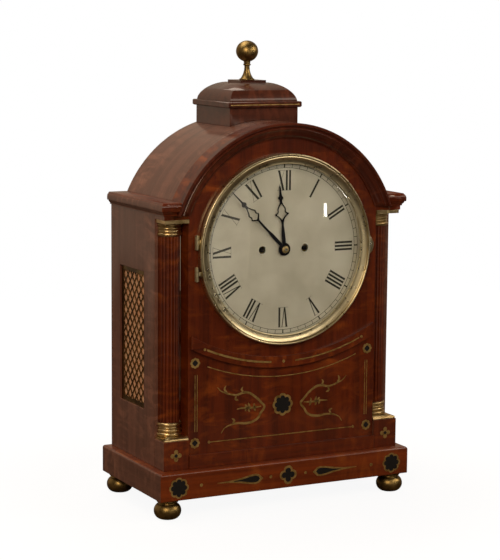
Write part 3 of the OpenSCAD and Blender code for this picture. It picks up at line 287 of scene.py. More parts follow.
# ---------------------------------------------------------------- feet
# Four solid turned brass feet, flattened balls with a short collar, gone olive with age.
def brass(name, dark, plain, rough, patch_mm=14, low=0.4, high=0.65, brushed=(1, 1, 1)):
    """Brass with drifts of tarnish and fine rubbing marks about 1.5 mm long."""
    made, tree = new_material(name)
    place = add(tree, "TexCoord").outputs["Object"]
    patch = add(tree, "TexNoise", {"Vector": place, "Scale": 1 / (patch_mm * MM), "Detail": 5.0})
    tarnish = add(tree, "MapRange", {"Value": patch, "From Min": low, "From Max": high})
    colour = add(tree, "Mix", {0: tarnish, 6: tone(plain), 7: tone(dark)}, data_type="RGBA")
    drawn = add(tree, "Mapping", {"Vector": place, "Scale": [b / (1.5 * MM) for b in brushed]})
    rubbed = add(tree, "TexNoise", {"Vector": drawn, "Scale": 1.0, "Detail": 4.0})
    rough_at = add(tree, "MapRange", {"Value": rubbed, "From Min": 0.3, "From Max": 0.75,
                                                "To Min": rough * 0.8, "To Max": rough * 1.35})
    bump = add(tree, "Bump", {"Height": rubbed, "Strength": 0.12, "Distance": 0.01 * MM})
    metal = add(tree, "BsdfPrincipled", {"Base Color": colour, "Metallic": 1.0, "Roughness": rough_at,
                                                   "Normal": bump})
    add(tree, "OutputMaterial", {"Surface": metal})
    return made


def lathe(outline, steps=96):
    """A solid turned about Z: outline is [(radius, height), ...] in mm, from the bottom up the outside."""
    shape = bmesh.new()
    rings = []
    for radius, height in outline:
        angles = [2 * math.pi * k / steps for k in range(steps)] if radius > 1e-6 else [0]
        rings.append([shape.verts.new((radius * MM * math.cos(a), radius * MM * math.sin(a), height * MM))
                      for a in angles])
    hollow = outline[0][0] > 1e-6
    for low, high in zip(rings, rings[1:] + rings[:1] if hollow else rings[1:]):
        for k in range(steps):
            corners = [low[k % len(low)], low[(k + 1) % len(low)],
                       high[(k + 1) % len(high)], high[k % len(high)]]
            kept = list(dict.fromkeys(corners))
            if len(kept) > 2:
                shape.faces.new(kept)
    bmesh.ops.recalc_face_normals(shape, faces=shape.faces)
    mesh = bpy.data.meshes.new("turned")
    shape.to_mesh(mesh)
    shape.free()
    keep_sharp(mesh)
    return mesh


def bow(radius, centre, start, end, steps, squash=1.0):
    """Points on an arc of a turned outline: centre is (radius, height), angles in degrees."""
    return [(centre[0] + radius * math.cos(math.radians(a)),
             centre[1] + radius * squash * math.sin(math.radians(a)))
            for a in (start + (end - start) * k / steps for k in range(steps + 1))]


aged_brass = brass("brass_aged", "#5d4b28", "#a88e58", 0.38, patch_mm=9, low=0.35, high=0.75)
low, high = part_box("foot_front_left")
foot_r, foot_h = (high.x - low.x) / 2 / MM, (high.z - low.z) / MM
foot_outline = ([(0, 0)] + bow(9, (foot_r - 9, 9), -70, 62, 26, 1 / math.sin(math.radians(70)))
                + [(foot_r * 0.66, foot_h * 0.82), (foot_r * 0.66, foot_h * 0.86)]
                + bow(1.5, (foot_r * 0.7, foot_h - 2.2), -60, 60, 8) + [(foot_r * 0.72, foot_h), (0, foot_h)])
for corner in ("front_left", "front_right", "rear_left", "rear_right"):
    low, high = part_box("foot_" + corner)
    foot = lathe(foot_outline)
    foot.transform(Matrix.Translation(((low.x + high.x) / 2, (low.y + high.y) / 2, low.z)))
    fit(new_piece("ball_foot_" + corner, foot, aged_brass), "foot_" + corner)

# ---------------------------------------------------------------- case boards
# Front board of choice mahogany veneer, book-matched over the dial, between corner pedestals;
# side boards, rear frame and bottom rail of plainer wood, glued and blocked inside.
front_upright = mahogany("mahogany_front_upright", 2, *FRONT_TONES)
front_veneer = mahogany("mahogany_front_veneer", 2, *FRONT_TONES, leaf=(-13, 412))
# the side boards, rear frame and pedestal sides take the side tones, with their painted sheen
side_upright = mahogany("mahogany_side_upright", 2, *SIDE_SHEEN_TONES, coat=0.7, coat_rough=0.22)

planed("front_board", front_veneer, ease_mm=0.3)
planed("bottom_rail", front_along_x, ease_mm=0.6)
planed("swag_band", front_along_x, ease_mm=0.5)
planed("rear_frame", side_upright, ease_mm=0.4)
for side in ("left", "right"):
    planed("pedestal_" + side, front_upright, side_upright, ease_mm=0.7, sort=faces_sideways)
    planed("side_board_" + side, side_upright, ease_mm=0.5)

# ---------------------------------------------------------------- columns
# Reeded columns turned from solid mahogany, standing in the corner recesses. Each has a square
# plate and turned rings of brass at its foot and its head, pushed on and pinned.
REEDS = 18


def grown(name, tree, values, *materials):
    """The plain mesh that a geometry tree makes with these values of its named inputs."""
    piece = new_piece(name, bpy.data.meshes.new(name), *materials)
    modifier = piece.modifiers.new("made", "NODES")
    modifier.node_group = tree
    for item in tree.interface.items_tree:
        if item.in_out == "INPUT" and item.name in values:
            modifier[item.identifier] = values[item.name]
    made_plain(piece)
    return piece


def new_geometry(name, **kinds):
    """An empty geometry tree with these named inputs, and its input and output nodes."""
    tree = bpy.data.node_groups.new(name, "GeometryNodeTree")
    tree.interface.new_socket("Geometry", in_out="OUTPUT", socket_type="NodeSocketGeometry")
    for title, kind in kinds.items():
        tree.interface.new_socket(title, in_out="INPUT", socket_type="NodeSocket" + kind)
    return tree, add(tree, "NodeGroupInput").outputs


def finish_geometry(tree, parts, material):
    """Joins the parts, makes the instances real, sets the material and ends the tree."""
    joined = add(tree, "GeometryNodeJoinGeometry")
    for part in parts:
        tree.links.new(part.outputs[0], joined.inputs[0])
    real = add(tree, "GeometryNodeRealizeInstances", {0: joined})
    add(tree, "NodeGroupOutput", {0: add(tree, "GeometryNodeSetMaterial", {0: real, "Material": material})})


reeding, given = new_geometry("column_reeding", Radius="Float", Reed="Float", Length="Float", Reeds="Int")
path = add(reeding, "Math", {0: given["Radius"], 1: given["Reed"]}, operation="SUBTRACT")
ring = add(reeding, "GeometryNodeMeshCircle", {"Vertices": given["Reeds"], "Radius": path})
reed = add(reeding, "GeometryNodeMeshCylinder",
           {"Vertices": 20, "Radius": given["Reed"], "Depth": given["Length"]})
stood = add(reeding, "GeometryNodeInstanceOnPoints", {"Points": ring, "Instance": reed})
core_r = add(reeding, "Math", {0: path, 1: 0.1 * MM}, operation="ADD")
core = add(reeding, "GeometryNodeMeshCylinder", {"Vertices": 64, "Radius": core_r, "Depth": given["Length"]})
finish_geometry(reeding, (core, stood), front_upright)

bright_brass = brass("brass_polished", "#8c7142", "#dcc28e", 0.32, low=0.4, high=0.75)
for side in ("left", "right"):
    low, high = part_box("column_" + side)
    shaft_r = (high.x - low.x) / 2
    column = grown("column_shaft_" + side, reeding, {
        "Radius": shaft_r, "Reed": shaft_r * math.sin(math.pi / REEDS) * 0.82,
        "Length": high.z - low.z, "Reeds": REEDS}, front_upright)
    column.data.transform(Matrix.Translation((low + high) / 2))
    keep_sharp(column.data)
    fit(column, "column_" + side)
planed("column_bases", bright_brass)
planed("column_capitals", bright_brass)

# ---------------------------------------------------------------- side frets and silk
# A sheet of brass pierced with diamonds and pinned in the side's rebate, with a plain border, and a
# panel of salmon silk stretched behind it so that the strike can be heard.
FRET_ACROSS = 12.3
FRET_UP = 14.05
FRET_BAR = 2.1
FRET_BORDER = 8.4


def close_up(mesh):
    """Merges a mesh's doubled points and turns its faces outwards."""
    closed = bmesh.new()
    closed.from_mesh(mesh)
    bmesh.ops.remove_doubles(closed, verts=closed.verts, dist=1e-7)
    bmesh.ops.recalc_face_normals(closed, faces=closed.faces)
    closed.to_mesh(mesh)
    closed.free()


def sheet_from(name, loops, thick_mm, to_place, *materials, edge_mm=0.0):
    """A flat sheet cut to closed outlines in mm; an outline inside another is a hole."""
    drawing = bpy.data.curves.new(name + "_line", "CURVE")
    drawing.dimensions = "2D"
    drawing.fill_mode = "BOTH"
    drawing.extrude = (thick_mm / 2 - edge_mm) * MM
    drawing.bevel_depth = edge_mm * MM
    drawing.bevel_resolution = 1
    drawing.offset = -edge_mm * MM
    for loop in loops:
        line = drawing.splines.new("POLY")
        line.points.add(len(loop) - 1)
        for point, (u, v) in zip(line.points, loop):
            point.co = (u * MM, v * MM, 0, 1)
        line.use_cyclic_u = True
    holder = bpy.data.objects.new(name + "_line", drawing)
    bpy.context.scene.collection.objects.link(holder)
    mesh = bpy.data.meshes.new_from_object(holder.evaluated_get(bpy.context.evaluated_depsgraph_get()))
    bpy.data.objects.remove(holder)
    close_up(mesh)
    mesh.transform(to_place)
    keep_sharp(mesh, 25)
    return new_piece(name, mesh, *materials)


def merged(name, *parts):
    """Several meshes' pieces as one piece, each keeping its materials."""
    whole = bmesh.new()
    materials = []
    for part in parts:
        own = list(part.data.materials)
        start = len(whole.faces)
        whole.from_mesh(part.data)
        whole.faces.ensure_lookup_table()
        for face in whole.faces[start:]:
            wanted = own[face.material_index]
            if wanted not in materials:
                materials.append(wanted)
            face.material_index = materials.index(wanted)
        bpy.data.objects.remove(part)
    mesh = bpy.data.meshes.new(name)
    whole.to_mesh(mesh)
    whole.free()
    indices = [face.material_index for face in mesh.polygons]
    piece = new_piece(name, mesh, *materials)
    for face, index in zip(mesh.polygons, indices):
        face.material_index = index
    return piece


sheet_brass = brass("brass_sheet_darkened", "#4d3c1c", "#8a7240", 0.32, patch_mm=20, low=0.3, high=0.7)
piercing, given = new_geometry("pierced_lattice", Across="Float", Up="Float", Bar="Float", Columns="Int",
                               Rows="Int", Width="Float", Height="Float", Thickness="Float")
blank = add(piercing, "GeometryNodeCurvePrimitiveQuadrilateral",
            {"Width": given["Width"], "Height": given["Height"]})
diamond = add(piercing, "GeometryNodeCurvePrimitiveCircle", {"Resolution": 4, "Radius": 0.5})
window = [add(piercing, "Math", {0: given[side], 1: given["Bar"]}, operation="SUBTRACT")
          for side in ("Across", "Up")]
window = add(piercing, "CombineXYZ", {0: window[0], 1: window[1], 2: 1.0})
cut = [blank]
for extra in (0, 1):
    # two grids of windows, the second between the first and one larger each way
    counts = [add(piercing, "Math", {0: given[way], 1: float(extra)}, operation="ADD")
              for way in ("Columns", "Rows")]
    gaps = [add(piercing, "Math", {0: count, 1: 1.0}, operation="SUBTRACT") for count in counts]
    spans = [add(piercing, "Math", {0: gap, 1: given[pitch]}, operation="MULTIPLY")
             for gap, pitch in zip(gaps, ("Across", "Up"))]
    grid = add(piercing, "GeometryNodeMeshGrid", {"Size X": spans[0], "Size Y": spans[1],
                                                  "Vertices X": counts[0], "Vertices Y": counts[1]})
    cut.append(add(piercing, "GeometryNodeInstanceOnPoints",
                   {"Points": grid, "Instance": diamond, "Scale": window}))
outlines = add(piercing, "GeometryNodeJoinGeometry")
for part in cut:
    piercing.links.new(part.outputs[0], outlines.inputs[0])
real = add(piercing, "GeometryNodeRealizeInstances", {0: outlines})
filled = add(piercing, "GeometryNodeFillCurve", {0: real})
raised = add(piercing, "GeometryNodeExtrudeMesh", {"Mesh": filled, "Offset Scale": given["Thickness"],
                                                   "Individual": False})
finish_geometry(piercing, (raised, add(piercing, "GeometryNodeFlipFaces", {0: filled})), sheet_brass)

silk, tree = new_material("salmon_silk")
# salmon tabby silk, its threads drawn 0.9 mm apart, coarser than real so that they show
place = add(tree, "TexCoord").outputs["Object"]
lanes = []
for direction in ((0, 1, 0), (0, 0, 1)):
    lane = add(tree, "VectorMath", {0: place, 1: [d * 2 * math.pi / (0.9 * MM) for d in direction]},
               operation="DOT_PRODUCT")
    lanes.append(add(tree, "Math", {0: lane}, operation="SINE"))
weave = add(tree, "Math", {0: lanes[0], 1: lanes[1]}, operation="MULTIPLY")
slub = add(tree, "TexNoise", {"Vector": place, "Scale": 60.0, "Detail": 3.0})
tint = add(tree, "Mix", {0: slub, 6: tone("#e08a4c"), 7: tone("#ffd3a0")}, data_type="RGBA")
dip = add(tree, "MapRange", {"Value": weave, "From Min": -1.0, "To Max": 0.25})
tint = add(tree, "Mix", {0: dip, 6: tint, 7: tone("#8f4a22")}, data_type="RGBA")
ridge = add(tree, "Bump", {"Height": weave, "Strength": 0.5, "Distance": 0.08 * MM})
cloth = add(tree, "BsdfPrincipled", {"Base Color": tint, "Roughness": 0.5, "Normal": ridge,
                                               "Sheen Weight": 0.4, "Sheen Roughness": 0.4})
add(tree, "OutputMaterial", {"Surface": cloth})

silk_low, silk_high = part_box("fret_silks")
for side, sign in (("left", -1), ("right", 1)):
    low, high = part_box("side_fret_" + side)
    wide, tall, thick = (high.y - low.y) / MM, (high.z - low.z) / MM, (high.x - low.x) / MM
    standing = Matrix(((0, 0, sign, (low.x + high.x) / 2), (1, 0, 0, (low.y + high.y) / 2),
                       (0, 1, 0, (low.z + high.z) / 2), (0, 0, 0, 1)))
    lattice = grown("fret_lattice_" + side, piercing, {
        "Across": FRET_ACROSS * MM, "Up": FRET_UP * MM, "Bar": FRET_BAR * MM, "Columns": 5, "Rows": 11,
        "Width": wide * MM, "Height": tall * MM, "Thickness": 0.8 * thick * MM}, sheet_brass)
    close_up(lattice.data)
    lattice.data.transform(standing @ Matrix.Translation((0, 0, -thick / 2 * MM)))
    if sign < 0:
        lattice.data.flip_normals()
    keep_sharp(lattice.data, 25)
    fit(lattice, "side_fret_" + side)
    border = [[(-wide / 2 + gap, -tall / 2 + gap), (wide / 2 - gap, -tall / 2 + gap),
               (wide / 2 - gap, tall / 2 - gap), (-wide / 2 + gap, tall / 2 - gap)]
              for gap in (0, FRET_BORDER)]
    rim = sheet_from("fret_border_" + side, border, thick * 0.2 + 0.02,
                     standing @ Matrix.Translation((0, 0, (thick * 0.4 + 0.01) * MM)), sheet_brass)
    if sign < 0:
        rim.data.flip_normals()
    fit(rim, "side_fret_" + side)

    outer = silk_high.x if sign > 0 else silk_low.x
    panel = bmesh.new()
    across, down = 36, 24
    grid = [[panel.verts.new((
        outer - sign * MM * (0.12 + 0.1 * math.sin(2 * math.pi * k * 7 / across)),
        silk_low.y + (silk_high.y - silk_low.y) * k / across,
        silk_low.z + (silk_high.z - silk_low.z) * j / down)) for k in range(across + 1)]
        for j in range(down + 1)]
    for j in range(down):
        for k in range(across):
            corners = [grid[j][k], grid[j][k + 1], grid[j + 1][k + 1], grid[j + 1][k]]
            panel.faces.new(corners if sign > 0 else corners[::-1])
    mesh = bpy.data.meshes.new("silk")
    panel.to_mesh(mesh)
    panel.free()
    cloth_piece = new_piece("fret_silk_" + side, mesh, silk)
    weight = cloth_piece.modifiers.new("weight", "SOLIDIFY")
    weight.thickness = 0.3 * MM
    weight.offset = -1
    made_plain(cloth_piece)
    keep_sharp(cloth_piece.data)
    fit(cloth_piece, "fret_silks")

# ---------------------------------------------------------------- mouldings, roof and cap
# Mahogany mouldings planed in lengths: one bent round the arch, one over each shoulder. The roof is
# coopered and veneered round its curve, and carries a square box, a moulding and a domed cushion.
dial_z = (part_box("bezel_glass")[0].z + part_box("bezel_glass")[1].z) / 2
moulding_round = mahogany("mahogany_moulding_round", 2, "#3a1408", "#5c2410", "#7d3a1c", ring=dial_z)
# the roof takes the side tones too: a painted sheen of the white backdrop on its curve
roof_round = mahogany("mahogany_roof_round", 2, *SIDE_SHEEN_TONES, coat=0.9, coat_rough=0.12, ring=dial_z)
cap_along_x = mahogany("mahogany_cap_along_x", 0, "#3c1a0e", "#572a1a", "#7a4029", coat=0.9, coat_rough=0.1)

planed("arch_moulding", moulding_round)
for side in ("left", "right"):
    planed("shoulder_moulding_" + side, front_along_x, end_along_y, sort=faces_sideways)
planed("roof_shell", roof_round, ease_mm=0.3)
planed("cap_box", cap_along_x, ease_mm=0.4)
planed("cap_moulding", cap_along_x)
planed("cap_cushion", cap_along_x)

low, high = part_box("finial")
ball_r = (high.x - low.x) / 2 / MM
stem = (high.z - low.z) / MM - ball_r * 1.87
finial_outline = ([(0, 0), (ball_r * 0.62, 0)] + bow(0.8, (ball_r * 0.62, 0.8), -80, 80, 8)
                  + [(ball_r * (0.24 + 0.34 * (1 - t) ** 2.4), 1.8 + (stem - 7) * t)
                     for t in (k / 16 for k in range(17))]
                  + bow(1.0, (ball_r * 0.24 + 0.4, stem - 3.6), -80, 80, 8)
                  + bow(ball_r, (0, stem + ball_r * 0.92), -72, 90, 36, 0.95)[:-1] + [(0, stem + ball_r * 1.87)])
ball = lathe(finial_outline)
ball.transform(Matrix.Translation(((low.x + high.x) / 2, (low.y + high.y) / 2, low.z)))
fit(new_piece("ball_finial", ball, aged_brass), "finial")

# ---------------------------------------------------------------- brass and ebony inlay
# Sawn brass stringing, scrolls and flowers with ebony centres, let into the veneer of the front and
# levelled with it.
inlay_brass = brass("brass_inlay", "#94763a", "#e0bd78", 0.4, patch_mm=6, low=0.45, high=0.75)
ebony, tree = new_material("ebony_inlay")
# ebony: almost black and dense, so it shows only fine pores and the polish over them
place = add(tree, "TexCoord").outputs["Object"]
drawn = add(tree, "Mapping", {"Vector": place, "Scale": (2200.0, 2200.0, 150.0)})
pores = add(tree, "TexNoise", {"Vector": drawn, "Scale": 1.0, "Detail": 2.0})
black = add(tree, "Mix", {0: pores, 6: tone("#030303"), 7: tone("#0d0b0c")}, data_type="RGBA")
polish = add(tree, "BsdfPrincipled", {"Base Color": black, "Roughness": 0.45, "Coat Weight": 0.25,
                                                "Coat Roughness": 0.12})
add(tree, "OutputMaterial", {"Surface": polish})


def drawn_line(points, step=1.5):
    """A smooth line through points in mm."""
    ends = [points[0]] + list(points) + [points[-1]]
    line = []
    for a, b, c, d in zip(ends, ends[1:], ends[2:], ends[3:]):
        pieces = max(1, round(math.dist(b, c) / step))
        for k in range(pieces):
            t = k / pieces
            line.append(tuple(0.5 * (2 * q + (r - p) * t + (2 * p - 5 * q + 4 * r - s) * t * t
                                     + (3 * q - p - 3 * r + s) * t ** 3) for p, q, r, s in zip(a, b, c, d)))
    return line + [points[-1]]


def strip(line, width, tip=1.0):
    """The two sides of a strip along a line, its ends narrowed to tip of its width."""
    left, right_side = [], []
    for k, (u, v) in enumerate(line):
        before, after = line[max(k - 1, 0)], line[min(k + 1, len(line) - 1)]
        run = (after[0] - before[0], after[1] - before[1])
        length = math.hypot(*run) or 1
        end = min(k, len(line) - 1 - k) / max(1, len(line) * 0.25)
        half = width / 2 * (tip + (1 - tip) * min(1, end))
        left.append((u - run[1] / length * half, v + run[0] / length * half))
        right_side.append((u + run[1] / length * half, v - run[0] / length * half))
    return left, right_side


def anticlockwise(loop):
    turn = sum(p[0] * q[1] - p[1] * q[0] for p, q in zip(loop, loop[1:] + loop[:1]))
    return loop if turn > 0 else loop[::-1]


def let_in(name, shapes, face_y, proud_mm, material, sunk_mm=0.4):
    """Strips and flat outlines as one inlay in an upright face at face_y, proud_mm out of it."""
    inlay = bmesh.new()
    for shape in shapes:
        cells = [shape]
        if isinstance(shape, tuple):
            left, right_side = shape
            cells = [[left[k], right_side[k], right_side[k + 1], left[k + 1]] for k in range(len(left) - 1)]
        for cell in cells:
            flat = anticlockwise(cell)
            front = inlay.faces.new([inlay.verts.new((u * MM, face_y - proud_mm * MM, v * MM))
                                     for u, v in flat])
            back = inlay.faces.new([inlay.verts.new((u * MM, face_y + sunk_mm * MM, v * MM))
                                    for u, v in flat[::-1]])
            if not isinstance(shape, tuple):
                loop, hidden = list(front.verts), list(back.verts)[::-1]
                for k in range(len(loop)):
                    j = (k + 1) % len(loop)
                    inlay.faces.new([loop[j], loop[k], hidden[k], hidden[j]])
        if isinstance(shape, tuple):
            rim = anticlockwise(left + right_side[::-1])
            for (u, v), (m, n) in zip(rim, rim[1:] + rim[:1]):
                corners = [(m, -proud_mm, n), (u, -proud_mm, v), (u, sunk_mm, v), (m, sunk_mm, n)]
                inlay.faces.new([inlay.verts.new((x * MM, face_y + y * MM, z * MM)) for x, y, z in corners])
    bmesh.ops.remove_doubles(inlay, verts=inlay.verts, dist=1e-7)
    bmesh.ops.triangulate(inlay, faces=[f for f in inlay.faces if len(f.verts) > 4])
    mesh = bpy.data.meshes.new(name)
    inlay.to_mesh(mesh)
    inlay.free()
    return new_piece(name, mesh, material)


def round_loop(u, v, radius, steps=28):
    return [(u + radius * math.cos(2 * math.pi * k / steps), v + radius * math.sin(2 * math.pi * k / steps))
            for k in range(steps)]


def petals(u, v, radius, count, depth, steps=96):
    """A lobed flower of count petals."""
    loop = []
    for k in range(steps):
        a = 2 * math.pi * k / steps
        r = radius * (1 - depth + depth * abs(math.cos(count * a / 2)) ** 0.7)
        loop.append((u + r * math.cos(a), v + r * math.sin(a)))
    return loop


def mirrored(points, sign):
    return [(sign * u, v) for u, v in points]


def arc_line(radius, centre, u0, u1, step=4):
    """Points on the lower part of a circle from u0 to u1."""
    count = max(2, round(abs(u1 - u0) / step))
    line = []
    for k in range(count + 1):
        u = u0 + (u1 - u0) * k / count
        line.append((u, centre[1] - math.sqrt(radius ** 2 - (u - centre[0]) ** 2)))
    return line


board_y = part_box("front_board")[0].y
base_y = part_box("base_plinth")[0].y
band_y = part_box("swag_band")[0].y
SCROLL = [(85, 146), (80, 141), (71.5, 137.5), (61, 135), (52, 137), (44, 136), (35, 130), (29, 124), (24, 118),
          (29, 111), (32.5, 105.5), (39, 102), (48, 100.7), (58, 101.7), (67, 101), (75.5, 97.5), (80, 91.5)]
BRANCH = [(28, 119), (35, 118.5), (43.5, 118.3), (52, 119), (60, 118.3)]
ARC_CENTRE = (0, 420.6)
panel_brass, panel_ebony = [], []
for sign in (-1, 1):
    panel_brass.append(strip(drawn_line(mirrored(SCROLL, sign)), 2.7, 0.3))
    panel_brass.append(strip(drawn_line(mirrored(BRANCH, sign)), 2.3, 0.3))
    for leaf in ([(44, 118.5), (47, 120.2), (49.5, 123)], [(42, 118.5), (44, 121), (45, 124.6)],
                 [(44, 118.3), (44.6, 116), (43.3, 113.7)], [(46, 118.3), (48.6, 117), (48.3, 114.7)],
                 [(36, 118.5), (38, 121), (37, 123.4)], [(36, 118.5), (37, 116.4), (35.4, 114)],
                 [(72, 137.5), (76, 143), (74, 147)], [(60, 135), (62, 130.6), (58, 128.6)],
                 [(66, 101.2), (63, 105.4), (66.5, 108)], [(51, 136.8), (54, 141), (52, 144)]):
        panel_brass.append(strip(drawn_line(mirrored(leaf, sign)), 2.4, 0.2))
    for u, v in ((113.5, 176.4), (113.5, 83.5)):
        panel_brass.append(petals(sign * u, v, 6.2, 8, 0.16))
        panel_ebony.append(petals(sign * u, v, 3.4, 4, 0.25))
    for shift in (-1.4, 1.4):
        panel_brass.append(strip([(sign * 112.2 + shift, 96.5), (sign * 112.2 + shift, 162.7)], 0.8))
    panel_brass.append(round_loop(sign * 95.5, 83, 1.7))
panel_brass.append(strip([(-94, 83), (94, 83)], 1.1))
panel_brass.append(strip(arc_line(268, ARC_CENTRE, -98, 98), 1.1))
panel_brass.append(petals(0, 118.7, 13.4, 8, 0.14))
panel_ebony.append(petals(0, 118.7, 10.6, 8, 0.24))
fit(let_in("panel_brass", panel_brass, board_y, 0.12, inlay_brass), "front_board")
fit(let_in("panel_ebony", panel_ebony, board_y, 0.2, ebony), "front_board")
SWAG_R = 250.4
swag_brass = [strip(arc_line(SWAG_R, ARC_CENTRE, -100.3, -17.7), 2.2),
              strip(arc_line(SWAG_R, ARC_CENTRE, 13.9, 100.1), 1.6), petals(-1.4, 170.7, 1.9, 4, 0.2),
              round_loop(-103.2, 191.9, 1.7), round_loop(103, 192.1, 1.7)]
fit(let_in("swag_brass", swag_brass, band_y, 0.12, inlay_brass), "swag_band")
ROUNDEL_U, ROUNDEL_V = 140.7, 37.4
DROP = [(32.6, 37.6), (36.0, 34.8), (38.6, 32.4), (43, 31.6), (50, 32.3), (62, 34.6), (76, 36.6), (92, 37.4),
        (92, 38.2), (76, 38.8), (62, 40.6), (50, 43), (43, 43.6), (38.6, 42.8), (36.0, 40.4)]
DROP_HEART = [(37.2, 37.6), (39.6, 34.6), (43, 33.6), (50, 34.3), (60, 36.4), (71, 37.4), (71, 37.8),
              (60, 38.8), (50, 40.9), (43, 41.6), (39.6, 40.6)]
base_brass, base_ebony = [], []
for sign in (-1, 1):
    base_brass.append(petals(sign * ROUNDEL_U, ROUNDEL_V, 12.3, 8, 0.14))
    base_ebony.append(petals(sign * ROUNDEL_U, ROUNDEL_V, 10.2, 8, 0.24))
    base_brass.append(mirrored(DROP, sign))
    base_ebony.append(mirrored(DROP_HEART, sign))
    base_brass += [round_loop(sign * 23, 38, 1.8), round_loop(sign * 112.5, 38, 2)]
base_brass.append(petals(0, 37.8, 11.2, 4, 0.3))
base_ebony.append(petals(0, 37.8, 8.4, 4, 0.5))
fit(let_in("base_brass", base_brass, base_y, 0.015, inlay_brass), "base_plinth")
fit(let_in("base_ebony", base_ebony, base_y, 0.03, ebony), "base_plinth")
pedestal_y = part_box("pedestal_left")[0].y
CROSS_U, CROSS_V = 138.7, 72
for side, sign in (("left", -1), ("right", 1)):
    flower = [petals(sign * CROSS_U, CROSS_V, 7.0, 4, 0.66)]
    fit(let_in("pedestal_flower_" + side, flower, pedestal_y, 0.12, inlay_brass), "pedestal_" + side)
    heart = [petals(sign * CROSS_U, CROSS_V, 2.2, 4, 0.3)]
    fit(let_in("pedestal_heart_" + side, heart, pedestal_y, 0.2, ebony), "pedestal_" + side)
cap_low, cap_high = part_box("cap_moulding")
mid_v = (cap_low.z + cap_high.z) / 2 / MM
line = [strip([(cap_low.x / MM + 3, mid_v), (cap_high.x / MM - 3, mid_v)], 1.0)]
fit(let_in("cap_string", line, cap_low.y, 0.1, inlay_brass), "cap_moulding")

# ---------------------------------------------------------------- bezel and glass
# A cast and turned brass bezel, hinged on the left, with a lift tab on the right. Its slope is
# polished bright and holds a convex glass from behind.
bezel_brass = brass("brass_bezel", "#a49672", "#dccfa8", 0.3, patch_mm=30, low=0.5, high=0.85,
                    brushed=(0.2, 0.2, 0.2))
bezel_low, bezel_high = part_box("bezel")
glass_low, glass_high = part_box("bezel_glass")
BEZEL_R = 111.0
glass_r = (glass_high.x - glass_low.x) / 2 / MM
bezel_d = (bezel_high.y - bezel_low.y) / MM
seat_r, lip_r, lip_d = glass_r + 0.1, glass_r - 1.4, 3.8
slope = [(lip_r + 1.2 + 6.2 * t, 4.9 + 1.9 * t - 0.35 * math.sin(math.pi * t))
         for t in (1 - k / 10 for k in range(11))]
ring = lathe([(seat_r, 0), (BEZEL_R - 0.8, 0), (BEZEL_R - 0.2, 0.25), (BEZEL_R, 0.8), (BEZEL_R, 5.4)]
             + bow(1.5, (BEZEL_R - 1.5, 5.74), 0, 180, 14, (bezel_d - 5.74) / 1.5)
             + [(BEZEL_R - 3.1, 6.2), (BEZEL_R - 3.3, 6.9), (BEZEL_R - 4.1, 7.1)] + slope
             + [(lip_r + 0.7, 5.0), (lip_r + 0.2, 4.8), (lip_r, 4.5), (lip_r, lip_d), (seat_r, lip_d)], 192)
to_front = Matrix.Rotation(math.pi / 2, 4, "X")


def on_dial(y, u=0, v=0):
    """Turns a lathe shape to face the front, u and v mm from the dial's centre."""
    return Matrix.Translation((u * MM, y, dial_z + v * MM)) @ to_front


ring.transform(on_dial(bezel_high.y))
parts = [new_piece("bezel_ring", ring, bezel_brass)]


def upright(y, v=0.0):
    """Stands a flat sheet up facing the front, its middle at y."""
    return Matrix(((1, 0, 0, 0), (0, 0, -1, y), (0, 1, 0, v), (0, 0, 0, 1)))


TAB_R = 14.0
tab = [(BEZEL_R - 7.5 + TAB_R * math.cos(math.radians(a)), TAB_R * math.sin(math.radians(a)))
       for a in range(-66, 67, 6)]
parts.append(sheet_from("lift_tab", [tab], 2.6, upright(bezel_high.y - 2.8 * MM, dial_z), bezel_brass,
                        edge_mm=0.5))
HINGE_X, HINGE_R, KNUCKLE = -113.6, 2.6, 5.0
for up_by in (13.6, -22.6):
    eye = lathe([(1.25, -KNUCKLE / 2), (HINGE_R - 0.3, -KNUCKLE / 2), (HINGE_R, -KNUCKLE / 2 + 0.3),
                 (HINGE_R, KNUCKLE / 2 - 0.3), (HINGE_R - 0.3, KNUCKLE / 2), (1.25, KNUCKLE / 2)], 40)
    eye.transform(Matrix.Translation((HINGE_X * MM, bezel_high.y - 3.4 * MM, dial_z + up_by * MM)))
    parts.append(new_piece("bezel_eye", eye, bezel_brass))
    reach = -math.sqrt(BEZEL_R ** 2 - up_by ** 2) + 1
    arm = [(HINGE_X + 1.6, up_by - KNUCKLE / 2), (reach, up_by - KNUCKLE / 2), (reach, up_by + KNUCKLE / 2),
           (HINGE_X + 1.6, up_by + KNUCKLE / 2)]
    parts.append(sheet_from("bezel_arm", [arm], 2.4, upright(bezel_high.y - 3.4 * MM, dial_z), bezel_brass,
                            edge_mm=0.2))
fit(merged("turned_bezel", *parts), "bezel")
planed("bezel_hinges", bezel_brass)

glass, tree = new_material("clock_glass")
# thin blown crown glass: clear, with a faint green edge, and light passes through to the dial
clear = add(tree, "BsdfPrincipled", {"Base Color": tone("#fbfffd"), "Roughness": 0.0, "IOR": 1.45,
                                               "Transmission Weight": 1.0})
through = add(tree, "BsdfTransparent", {"Color": tone("#f4f8f6")})
shadow = add(tree, "LightPath").outputs["Is Shadow Ray"]
add(tree, "OutputMaterial", {"Surface": add(tree, "MixShader",
                                                     {0: shadow, 1: clear, 2: through})})
GLASS_T = 1.5
rise = (glass_high.y - glass_low.y) / MM - GLASS_T
curve = ((glass_r - 2.2) ** 2 + rise ** 2) / (2 * rise)
swing = math.asin((glass_r - 2.2) / curve)
crown = [(curve * math.sin(swing * k / 24), curve * (math.cos(swing * k / 24) - math.cos(swing)))
         for k in range(25)]
crown_glass = lathe(crown + [(glass_r, 0), (glass_r, GLASS_T)] + [(r, h + GLASS_T) for r, h in crown[::-1]],
                    160)
crown_glass.transform(on_dial(glass_high.y))
fit(new_piece("convex_glass", crown_glass, glass), "bezel_glass")

# ---------------------------------------------------------------- dial
# A round brass dial, finely grained and silvered, held by four feet. Roman numerals and a minute
# ring are engraved in it and filled with black wax; two holes lead to the winding squares.
silvered, tree = new_material("silvered_brass")
